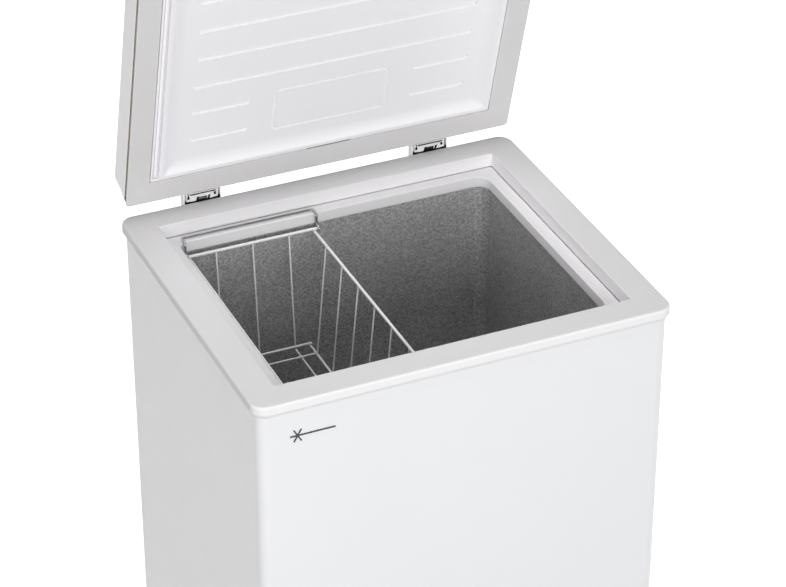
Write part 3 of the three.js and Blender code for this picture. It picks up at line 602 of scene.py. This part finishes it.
def lid_edge(angle, bend, sheet):
    """A loop on the rounded upper edge, on the outside or one sheet's thickness in."""
    return lid_loop(LID_INSET + sheet + bend * (1 - math.sin(angle)),
                    LID_TOP - (EDGE_DROP + sheet + bend * (1 - math.cos(angle))) * MM,
                    17.5 + bend * math.sin(angle))


def open_mesh(mesh):
    mesh.transform(OPEN_LID)
    return mesh


def make_lid_shell():
    loops = [lid_loop(inset, LID_TOP - drop * MM, 10)
             for inset, drop in ((200, 0.0), (120, 0.05), (60, 0.3), (26, 0.7))]
    loops += [lid_edge(angle, LID_ROUND, 0) for angle in quarter(8)]
    loops += [lid_loop(i, LID_BOTTOM + rise * MM, r) for i, rise, r in (
        (5.0, 18, 24), (5.0, 1.2, 18), (5.04, 0.5, 17.96), (5.16, 0.15, 17.84), (5.35, 0, 17.65),
        (5.5, 0, 17.5), (5.7, 0.15, 17.3), (5.8, 0.5, 17.2), (5.8, 18, 23.2), (5.8, 26, 23.2))]
    loops += [lid_edge(angle, LID_ROUND - LID_SHEET, LID_SHEET) for angle in reversed(quarter(4))]
    loops.append(lid_loop(200, LID_TOP - EDGE_DROP * MM, 10))
    place("lid_skin", open_mesh(build("lid_skin", loft(loops))), LID_STEEL, "lid", ["lid_shell"],
          45)


def under_lid(inset, z, radius, shift=0.0):
    """An outline under the lid; its back edge moves in faster than its sides do."""
    back = RIM_BACK - (4.7 + shift + (inset - 7) * 1.178) * MM
    # On the right the seal is wider, and the bead beside it narrower.
    seal_edge, bead_end, extra, fade = 36, 47.1, 3.3, 8.4
    right = inset
    if seal_edge < inset < bead_end:
        right = inset + extra * min(1, (bead_end - inset) / fade)
    return outline(-RIM_X + inset * MM, RIM_X - right * MM, RIM_FRONT + inset * MM, back,
                   radius * MM, RIM_TOP + z * MM, PANEL_STEPS)


def make_gasket():
    profile = [  # inset, height above the collar's top, corner radius, distance in from the back edge
        (9.0, 9.0, 12, 1.9), (8.6, 4.3, 12.4, 1.9), (7.2, 3.7, 5.4, 0), (7.0, 3.2, 5.5, 0),
        (7.0, 1.6, 5.5, 0), (7.25, 0.85, 5.3, 0), (7.9, 0.45, 4.8, 0), (9.2, 0.4, 4, 0),
        (36.8, 0.4, 1.0, 0), (37.7, 0.5, 1.0, 0), (38.1, 0.8, 1.0, 0), (38.2, 1.5, 1.0, 0),
        (38.2, 8.6, 1.0, 0), (37.8, 9.0, 1.2, 0)]
    loops = [under_lid(i, z, r, shift=d) for i, z, r, d in profile]
    place("lid_seal", open_mesh(build("lid_seal", loft(loops, ring=True))), SEAL_RUBBER, "lid",
          ["lid_gasket"], 50)


def ease(t):
    t = min(max(t, 0.0), 1.0)
    return t * t * (3 - 2 * t)


# All in millimetres; the heights are relative to the collar's top.
PLUG_SIDE = 47.3             # inset of the raised middle at the sides and the front
PLUG_BACK = 52.2             # and at the back
PLUG_LOW = -8.0              # height of its border
PLUG_FACE = -1.6             # height of its recessed middle
PLUG_THICK = 3.2
RECESS = 27.5                # distance from the middle's edge to where its recess levels out
GROOVE = 2.1                 # depth of the grooves pressed into the recess
LONG_ROWS = [45.5 - 48 * i for i in range(5)]
SHORT_ROWS = [91.1, 139.2]   # these leave out the middle, where the frame is
ROW_END, ROW_START = 197, 116
FRAME_LOW, FRAME_HIGH = (-82.5, 79.8), (82.5, 153.3)       # corners of the grooved frame


def groove_depth(x, y):
    """How deep the grooves are at a point, from 0 to 1."""
    deepest = 0.0
    rows = [(row, [(-ROW_END, ROW_END)]) for row in LONG_ROWS]
    rows += [(row, [(-ROW_END, -ROW_START), (ROW_START, ROW_END)]) for row in SHORT_ROWS]
    end_round, half_width, wall = 4, 2.5, 1.3
    for row, ends in rows:
        for x0, x1 in ends:
            dx = max(x0 + end_round - x, x - x1 + end_round, 0)
            deepest = max(deepest, 1 - ease((math.hypot(dx, y - row) - half_width) / wall))
    margin, corner, half_line, line_wall = 9, 7, 0.9, 0.6
    dx = max(FRAME_LOW[0] + margin - x, x - FRAME_HIGH[0] + margin)
    dy = max(FRAME_LOW[1] + margin - y, y - FRAME_HIGH[1] + margin)
    outside = math.hypot(max(dx, 0), max(dy, 0)) + min(max(dx, dy), 0) - corner
    return max(deepest, 1 - ease((abs(outside) - half_line) / line_wall))


def stations(start, end, marks):
    """Steps from start to end, fine ones near the marks and coarse ones elsewhere."""
    reach, fine, coarse = 4.4, 0.55, 9.0
    values = [start]
    while values[-1] < end - 1e-6:
        nearest = min(abs(values[-1] + fine - mark) for mark in marks)
        step = fine if nearest < reach else min(coarse, max(nearest - reach, fine))
        values.append(min(values[-1] + step, end))
    return values


def step_in(inset, z, radius):
    """An outline inside the raised middle, with the same inset all round."""
    x = RIM_X - (PLUG_SIDE + inset) * MM
    back = RIM_BACK - (PLUG_BACK + inset) * MM
    return outline(-x, x, RIM_FRONT + (PLUG_SIDE + inset) * MM, back, radius * MM,
                   RIM_TOP + z * MM, PANEL_STEPS)


def grooved_sheet():
    """The recessed middle of the panel: a grooved top on a plain block."""
    inset = PLUG_SIDE + RECESS
    x1, y0, y1 = RIM_X / MM - inset, RIM_FRONT / MM + inset, RIM_BACK / MM - PLUG_BACK - RECESS
    middle = RIM_MIDDLE / MM
    marks_x, frame_y = [195, 118, 80.5], [81.8, 151.3]
    xs = stations(-x1, x1, [side * mark for side in (-1, 1) for mark in marks_x])
    ys = stations(y0 - middle, y1 - middle, LONG_ROWS + SHORT_ROWS + frame_y)
    sheet = [(x * MM, (middle + y) * MM, RIM_TOP + (PLUG_FACE + GROOVE * groove_depth(x, y)) * MM)
             for y in ys for x in xs]
    wide, deep = len(xs), len(ys)
    skin = [(j * wide + i, j * wide + i + 1, (j + 1) * wide + i + 1, (j + 1) * wide + i)
            for j in range(deep - 1) for i in range(wide - 1)]
    under = len(sheet)
    sheet += [(x * MM, (middle + y) * MM, RIM_TOP + (PLUG_FACE + PLUG_THICK) * MM)
              for y in (ys[0], ys[-1]) for x in (xs[0], xs[-1])]
    last = (deep - 1) * wide
    skin += [(under, under + 1, under + 3, under + 2),
             (under, under + 1, *range(wide - 1, -1, -1)),
             (under + 3, under + 2, *range(last, last + wide)),
             (under + 2, under, *range(0, last + 1, wide)),
             (under + 1, under + 3, *range(last + wide - 1, 0, -wide))]
    return sheet, skin


def make_lid_panel():
    """The moulded panel under the lid: a bead, a raised border and a recessed, grooved middle."""
    top = 11.2
    outer = [under_lid(i, z, r, shift=d) for i, z, r, d in (
        (9, top, 12, 1.9), (9, top - 1.8, 12, 1.9), (39.0, top - 1.8, 1.0, 0), (39.05, 1.6, 1.0, 0),
        (39.2, 0.9, 1.2, 0), (39.7, 0.5, 1.4, 0), (40.6, 0.35, 1.6, 0), (41.6, 0.5, 1.8, 0),
        (42.15, 0.95, 2.0, 0), (42.3, 1.7, 2.0, 0), (42.35, 6.0, 2.0, 0), (43.25, 6.0, 2.2, 0),
        (43.3, 2.1, 2.2, 0), (43.6, 1.75, 2.4, 0), (44.6, 1.5, 3.0, 0), (45.8, 0.8, 3.4, 0),
        (46.6, -0.6, 3.8, 0), (47.1, -2.6, 4.2, 0))]
    outer += [step_in(i, z, r) for i, z, r in (
        (0, -4.5, 4.4), (0, -6.6, 4.4), (0.2, -7.4, 4.3), (0.7, -7.85, 4.1), (1.5, PLUG_LOW, 3.8),
        (5.6, PLUG_LOW, 3.4), (6.3, -7.8, 3.4), (7.2, -7.2, 3.6), (9.4, -6.0, 4.0), (12, -4.7, 4.6),
        (15, -3.5, 5.2), (18.5, -2.5, 5.6), (22, -1.9, 5.8), (25, -1.65, 5.8), (RECESS, PLUG_FACE, 5.8))]
    inner = [step_in(RECESS, PLUG_FACE + PLUG_THICK, 5.8), step_in(6, -5.2, 5), step_in(2.4, -4, 4),
             step_in(2.4, top, 4)]
    vertices, faces = loft(outer + inner, ring=True)
    # The middle is open in this ring; the grooved sheet fills it.
    count = len(outer[0])
    first = (len(outer) - 1) * count
    faces = [f for f in faces if not all(first <= i < first + 2 * count for i in f)]
    mesh = build("lid_panel", (vertices, faces), grooved_sheet())
    place("lid_panel", open_mesh(mesh), LINER_PLASTIC, "lid", ["lid_inner_panel"], 40)

    # Painted shade: a thin grey strip on the seal's band stands in for the shadow under the raised
    # middle's back edge.
    painted_shade_slit = soft_box((-24 * MM, 0.1974, RIM_TOP + 0.2 * MM), (39 * MM, 0.1994, RIM_TOP + 3 * MM),
                     0.3 * MM)
    place("lid_painted_shade_slit", open_mesh(build("painted_shade_slit", painted_shade_slit)), PAINTED_SHADE_GREY, "lid", [])


def make_grip():
    front = RIM_FRONT + LID_INSET * MM
    low = (-75 * MM, front - 11.2 * MM, RIM_TOP + 8 * MM)
    high = (75 * MM, front - 0.3 * MM, RIM_TOP + 25 * MM)
    bar = build("grip", soft_box(low, high, 2.4 * MM, corner=5 * MM, steps=5))
    scoop = soft_box((low[0] + 7 * MM, low[1] + 3 * MM, low[2] - 0.02),
                     (high[0] - 7 * MM, high[1] - 2 * MM, high[2] - 4 * MM), 1.5 * MM,
                     corner=2.4 * MM, steps=4)
    mesh = cut_mesh(bar, scoop)
    place("lid_grip_bar", open_mesh(mesh), COLLAR_PLASTIC, "lid", ["lid_grip"])


# ------------------------------------------------------------------ hinges

def in_metres(profile):
    """A turned profile given in millimetres."""
    return [(radius * MM, along * MM) for radius, along in profile]


def make_hinge(side, centre):
    """A stamped steel hinge in its open-topped plastic cover."""
    x = centre + 1.7 * MM

    def at(dx, dy, dz):
        """A place beside the hinge, in millimetres from the collar's top back edge."""
        return (x + dx * MM, RIM_BACK + dy * MM, RIM_TOP + dz * MM)

    def knuckle(start, length):
        """A short tube about the pin; the turned shell's two caps give way to the bore."""
        radius, bore, sides = 3.3, 1.9, 24
        profile = [(bore, 0.3), (bore + 0.3, 0), (radius - 0.4, 0), (radius, 0.4), (radius, length - 0.4),
                   (radius - 0.4, length), (bore + 0.3, length), (bore, length - 0.3)]
        vertices, faces = turned(at(start, 3.6, 9.2), (1, 0, 0), in_metres(profile), sides)
        last = (len(profile) - 1) * sides
        bore_wall = [(i, (i + 1) % sides, last + (i + 1) % sides, last + i) for i in range(sides)]
        return vertices, faces[:-2] + bore_wall

    def slab(corners, front, rear):
        """A flat plate between two depths, from its outline seen from the front."""
        return loft([[at(dx, dy, dz) for dx, dz in corners] for dy in (front, rear)])

    plate = build("plate", soft_box(at(-22.5, 0.6, -33), at(22.5, 2.4, 8.6), 0.5 * MM, corner=0.5 * MM))
    window = slab([(-10.5, -2.2), (8.2, -2.2), (9.8, 6.0), (-8.0, 6.0)], 4, -1)
    shells = [shell_of(cut_mesh(plate, window)), soft_box(at(-23, -4.4, -61), at(23, 2.3, -34), 0.8 * MM)]
    shells += [knuckle(start, length) for start, length in ((-22.6, 2.2), (-18.9, 2.0), (19.2, 2.6))]
    shells.append(wire([at(-17.5, 2.2, 8.6), at(-5, 2.4, 8.7), at(2, 2.2, 9.0), at(19.5, 2.4, 8.6)],
                       1.3 * MM, 14))
    shells.append(wire([at(-18, 1.7, 12.3), at(20, 1.7, 12.1)], 0.8 * MM))
    shells += [soft_box(at(dx - 5.4, 0.2, 0.9), at(dx + 5.4, 1.3, 6.2), 0.5 * MM) for dx in (-12.4, 11.8)]
    shells += [soft_box(at(dx - 0.9, 2.2, -18), at(dx + 0.9, 9.5, 23), 0.5 * MM) for dx in (-22.3, 22.3)]
    place(f"hinge_plate_{side}", build("hinge_plate", *shells), HINGE_STEEL, "cabinet",
          [f"hinge_bracket_{side}"], 30)

    # The same block is painted darker on the right hinge than on the left: painted shade.
    block = slab([(-7.2, -2.5), (4.6, -2.5), (6.4, 6.3), (-5.0, 6.3)], 5.2, 1.2)
    place(f"hinge_block_{side}", build("hinge_block", block),
          GREY_STEEL if side == "left" else DARK_STEEL_AND_SHADE, "cabinet", [], 30)

    # Painted shade: black strips stand in for the shadow in the gaps: a strip along the collar's edge and
    # its ends, the gaps beside the block, the slit over the rod, and the hollows beside the knuckles.
    shade_strips = [soft_box(at(-24.6, 0.25, -2.5), at(24.6, 2.6, 1.5), 0.3 * MM)]
    shade_strips += [soft_box(at(dx - 1.2, 0.2, -1), at(dx + 1.2, 2.8, 2.6), 0.5 * MM) for dx in (-24.4, 24.4)]
    for foot, head in ((-10.2, -7.7), (5.3, 8.6)):
        shade_strips.append(slab([(foot, -2.0), (foot + 3.1, -2.0), (head + 3.1, 6.4), (head, 6.4)], 4.6, 0.1))
    shade_strips.append(soft_box(at(-19, 1.0, 9.9), at(20, 3.2, 11.5), 0.3 * MM))
    shade_strips += [soft_box(at(dx, 0.1, 4.8), at(dx + 3.2, 3.8, 8.8), 0.6 * MM) for dx in (-21.6, 16.4)]
    place(f"hinge_painted_shade_{side}", build("hinge_painted_shade", *shade_strips), PAINTED_SHADE_BLACK, "cabinet", [],
          30)

    reach = 23.2
    length = 2 * reach
    profile = [(3.4, 0), (4.2, 0.5), (4.2, 1.7), (3.0, 1.9), (3.0, length - 1.9), (4.2, length - 1.7),
               (4.2, length - 0.5), (3.4, length)]
    pin = turned((x - reach * MM, PIVOT.y, PIVOT.z), (1, 0, 0), in_metres(profile), 32)
    place(f"hinge_axle_{side}", build("pin", pin), HINGE_STEEL, "cabinet", [f"hinge_pin_{side}"],
          30)

    shell = build("cover", soft_box(at(-27, 0.3, -75), at(27, 13.3, 24), 1.6 * MM, corner=2.2 * MM,
                                    steps=4))
    room = soft_box(at(-25.2, -5, -73.4), at(25.2, 11.8, 60), 0.9 * MM)
    cover = cut_mesh(shell, room)
    place(f"hinge_shroud_{side}", cover, COVER_PLASTIC, "cabinet", [f"hinge_cover_{side}"],
          30)


# ------------------------------------------------------------------ basket

ROD = 2.2 * MM               # radius of the frame's rods
THIN = 1.3 * MM              # radius of the thin wires
RAIL = 1.8 * MM              # radius of the rails at the bottom, and of the handles
SMOOTH = 60                  # wires have no edges sharper than this, in degrees


def coated(name, shells, node):
    """A part of the basket, in white-coated wire."""
    place(name, build(name, *shells), WIRE_COAT, "basket", [node], SMOOTH)


def make_basket():
    low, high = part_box("basket_rim")
    left, right = low[0] + 6.8 * MM, high[0] - 6.8 * MM
    front, back = low[1] + ROD, high[1] - ROD
    z = high[2] - ROD
    side_z = z - 4.1 * MM
    middle = (left + right) / 2
    end_rods = [wire([(low[0], y, z), (high[0], y, z)], ROD, 16) for y in (front, back)]
    side_rods = [wire([(x, front - 1 * MM, side_z), (x, back + 1 * MM, side_z)], ROD, 16)
                 for x in (left, right)]
    coated("basket_frame", end_rods + side_rods, "basket_rim")

    bottom = z - 175 * MM
    taper = 15 * MM
    low_left, low_right = left + taper, right - taper
    low_front, low_back = front + taper, back - taper
    side_stations = [RIM_MIDDLE + 54.4 * MM * (i - 2.5) for i in range(6)]
    end_stations = [middle + offset * MM for offset in (-52.3, 0, 52.3)]
    sunk = 0.4 * MM                      # the thin wires end inside the rods
    side_top, end_top = side_z - ROD + sunk, z - ROD + sunk
    for name, x, low_x in (("left", left, low_left), ("right", right, low_right)):
        rail = wire([(low_x, low_front - 2 * MM, bottom), (low_x, low_back + 2 * MM, bottom)], RAIL)
        wires = [wire([(low_x, y, bottom), (x, y, side_top)], THIN, 10) for y in side_stations]
        coated(f"basket_wall_{name}", [rail, *wires], f"basket_side_{name}")
    end_rail = bottom + 2 * RAIL + 0.3 * MM
    for name, y, low_y in (("front", front, low_front), ("rear", back, low_back)):
        rail = wire([(low_left - 2 * MM, low_y, end_rail), (low_right + 2 * MM, low_y, end_rail)], RAIL)
        wires = [wire([(x, low_y, end_rail), (x, y, end_top)], THIN, 10) for x in end_stations]
        coated(f"basket_wall_{name}", [rail, *wires], f"basket_end_{name}")
    lengthwise = [wire([(x, low_front + 1 * MM, bottom), (x, low_back - 1 * MM, bottom)], THIN, 10)
                  for x in end_stations]
    cross_left, cross_right, cross_z = low_left + 1.6 * MM, low_right - 1.6 * MM, bottom + 2.4 * MM
    across = [wire([(cross_left, y, cross_z), (cross_right, y, cross_z)], THIN, 10)
              for y in side_stations]
    coated("basket_grid", lengthwise + across, "basket_floor")

    span = (right - left) / 2 + 4.6 * MM
    make_basket_grip("front", middle, span, front, z, -1)
    make_basket_grip("rear", middle, span, back, z, 1)


def make_basket_grip(name, middle, span, y, z, outward):
    """A wire loop that stands on the ledge, with an eye round the end rod at each foot."""
    top = RIM_TOP - 20 * MM + 2.4 * MM
    leg, grip = y + outward * 4.2 * MM, y + outward * 17.7 * MM
    left, right = middle - span, middle + span
    path = bend_corners([(left, leg, z), (left, leg, top), (left, grip, top), (right, grip, top),
                         (right, leg, top), (right, leg, z)], 4.5 * MM)
    shells = [wire(path, RAIL, 14)]
    eye = 4.3 * MM
    turns = [2 * math.pi * k / 24 for k in range(24)]
    for x in (left, right):
        hoop = [(x, y + eye * math.cos(turn), z + eye * math.sin(turn)) for turn in turns]
        shells.append(wire(hoop, RAIL, closed=True))
    place(f"basket_grip_{name}", build("grip", *shells), CHROME, f"handle_{name}",
          [f"basket_handle_{name}"], SMOOTH)


# ------------------------------------------------------------------ controls and feet

def face_plate(low, high, radius, corner):
    """A plate that faces the front, with round corners and softened edges."""
    (x0, y0, z0), (x1, y1, z1) = low, high
    vertices, faces = soft_box((x0, z0, y0), (x1, z1, y1), radius, corner=corner, steps=4)
    return [(x, y, z) for x, z, y in vertices], [face[::-1] for face in faces]


def make_panel(low, high, knob_x, knob_z):
    """The control panel: a plate on the cabinet's front and a hollow box behind it."""
    face = low[1]
    start = face - 0.01                  # the round cutters start here, in front of the panel

    def bore(x, z, radius, depth, sides=40):
        return turned((x, start, z), (0, 1, 0), [(radius * MM, 0), (radius * MM, depth)], sides)

    def inside(margin, depth, rear, radius):
        """A block set in from the panel's outline, from a depth behind its face."""
        return soft_box((low[0] + margin, face + depth, low[2] + margin),
                        (high[0] - margin, rear, high[2] - margin), radius)

    plate = build("panel", face_plate((low[0], face, low[2]),
                                      (high[0], RIM_FRONT + 4.7 * MM, high[2]), 1.0 * MM, 5 * MM))
    box = build("box", inside(8 * MM, 1.5 * MM, high[1], 0.8 * MM))
    hollow = inside(10 * MM, 3 * MM, high[1] + 0.01, 0.6 * MM)
    lamp_x, _, lamp_z = box_centre("power_lamp")
    holes = [bore(knob_x, knob_z, 3.6, 0.05), bore(lamp_x, lamp_z, 3.3, 0.05)]
    finish_mesh(plate)
    finish_mesh(box)
    plate = cut_mesh(plate, bore(knob_x, knob_z, 19.6, 0.0104, 56), *holes)
    box = cut_mesh(box, hollow, *holes)
    place("panel_face", build("panel_face", shell_of(plate), shell_of(box)), COLLAR_PLASTIC, "cabinet",
          ["control_panel"], 35)


def make_controls():
    low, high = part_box("control_panel")
    knob_x, _, knob_z = joint["thermostat_turn"]["pos_m"]
    face = low[1]
    make_panel(low, high, knob_x, knob_z)

    # Plain marks round the dial, from low to high.
    marks = []
    reach = 22.2 * MM
    for i in range(7):
        angle = math.radians(225 - 45 * i)
        middle = (knob_x + reach * math.cos(angle), face - 0.05 * MM, knob_z + reach * math.sin(angle))
        size = (0.55 + 0.12 * i) * MM
        marks.append(turned(middle, (0, 1, 0), [(size, 0), (size, 0.3 * MM)], 16))
    place("dial_marks", build("dial_marks", *marks), MARK, "cabinet", [], 35)

    knob_low, knob_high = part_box("thermostat_knob")
    front, base = knob_low[1], face - 0.3 * MM
    body = turned((knob_x, base, knob_z), (0, -1, 0), in_metres([
        (10, 0), (17.6, 0), (18, 0.4), (17.7, 5.5), (17.3, 7.2), (16.5, 8.2), (15.3, 8.5), (6, 8.6)]), 64)
    ridge = face_plate((knob_x - 2.5 * MM, front + 0.06 * MM, knob_z - 14.8 * MM),
                       (knob_x + 2.5 * MM, base - 2 * MM, knob_z + 15.8 * MM), 0.7 * MM, 2.2 * MM)
    shaft_radius, shaft_length = 3 * MM, knob_high[1] - base + 1 * MM
    shaft = turned((knob_x, base - 1 * MM, knob_z), (0, 1, 0),
                   [(shaft_radius, 0), (shaft_radius, shaft_length)], 24)
    place("thermostat_dial", build("dial", body, ridge, shaft), COLLAR_PLASTIC, "knob",
          ["thermostat_knob"], 35)
    pointer = soft_box((knob_x - 0.5 * MM, front + 0.01 * MM, knob_z + 6 * MM),
                       (knob_x + 0.5 * MM, front + 0.6 * MM, knob_z + 14 * MM), 0.2 * MM)
    place("dial_pointer", build("pointer", pointer), MARK, "knob", [], 35)


def make_feet():
    profile = [  # distance in from the foot's edge and height, in millimetres
        (3.0, 0), (1.6, 0.2), (0.6, 1.0), (0, 2.4), (0, 5.5), (0.5, 6.2), (2.4, 6.6), (3.2, 8.0)]
    for name in sorted(n for n in frame["nodes"] if n.startswith("foot_")):
        low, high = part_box(name)
        x, y, _ = box_centre(name)
        radius = (high[0] - low[0]) / 2
        steps = [(radius - inset * MM, z * MM) for inset, z in profile]
        pad = turned((x, y, 0), (0, 0, 1), steps + [(radius - 3.2 * MM, high[2])], 48)
        place(f"pad_{name}", build("pad", pad), BLACK_PLASTIC, "cabinet", [name], 35)


def soften_frame():
    """Softens the edges of the visible pieces that stay as they are."""
    for name in ("compressor_grille", "mains_gland", "drain_plug", "front_emblem"):
        bevel = frame["nodes"][name].modifiers.new("soften", "BEVEL")
        bevel.width = (0.15 if name == "front_emblem" else 0.4) * MM
        bevel.segments = 2
        bevel.limit_method = "ANGLE"
        bevel.angle_limit = math.radians(40)


# ------------------------------------------------------------------ materials of the other CAD pieces

def dress_frame():
    surfaces = {
        "base_pan": ZINC, "cabinet_foam": FOAM, "evaporator_coil": COPPER, "condenser_coil": COPPER,
        "compressor_bulkhead": ZINC, "compressor_tray": ZINC, "compressor": BLACK_STEEL,
        "relay_cover": BLACK_PLASTIC, "suction_line": COPPER, "filter_drier": COPPER,
        "compressor_grille": BLACK_PLASTIC, "mains_gland": BLACK_PLASTIC, "thermostat": ZINC,
        "power_lamp": LENS, "front_emblem": MARK, "lid_foam": FOAM, "drain_plug": BLACK_RUBBER,
    }
    for name, piece in frame["nodes"].items():
        if name.startswith("hinge_cover"):
            surface = COLLAR_PLASTIC
        elif name.startswith("hinge_pin"):
            surface = CHROME
        elif name.startswith(("hinge_", "leaf_")):
            surface = ZINC
        elif name.startswith("foot_"):
            surface = BLACK_PLASTIC
        elif name.startswith("mount_grommet"):
            surface = BLACK_RUBBER
        else:
            surface = surfaces.get(name, COLLAR_PLASTIC)
        for slot in piece.material_slots:
            slot.material = surface


make_camera()
make_studio()
dress_frame()
make_walls()
make_collar()
make_liner()
make_lid_shell()
make_gasket()
make_lid_panel()
make_grip()
make_hinge("left", -HINGE_X)
make_hinge("right", HINGE_X)
make_basket()
make_controls()
make_feet()
soften_frame()
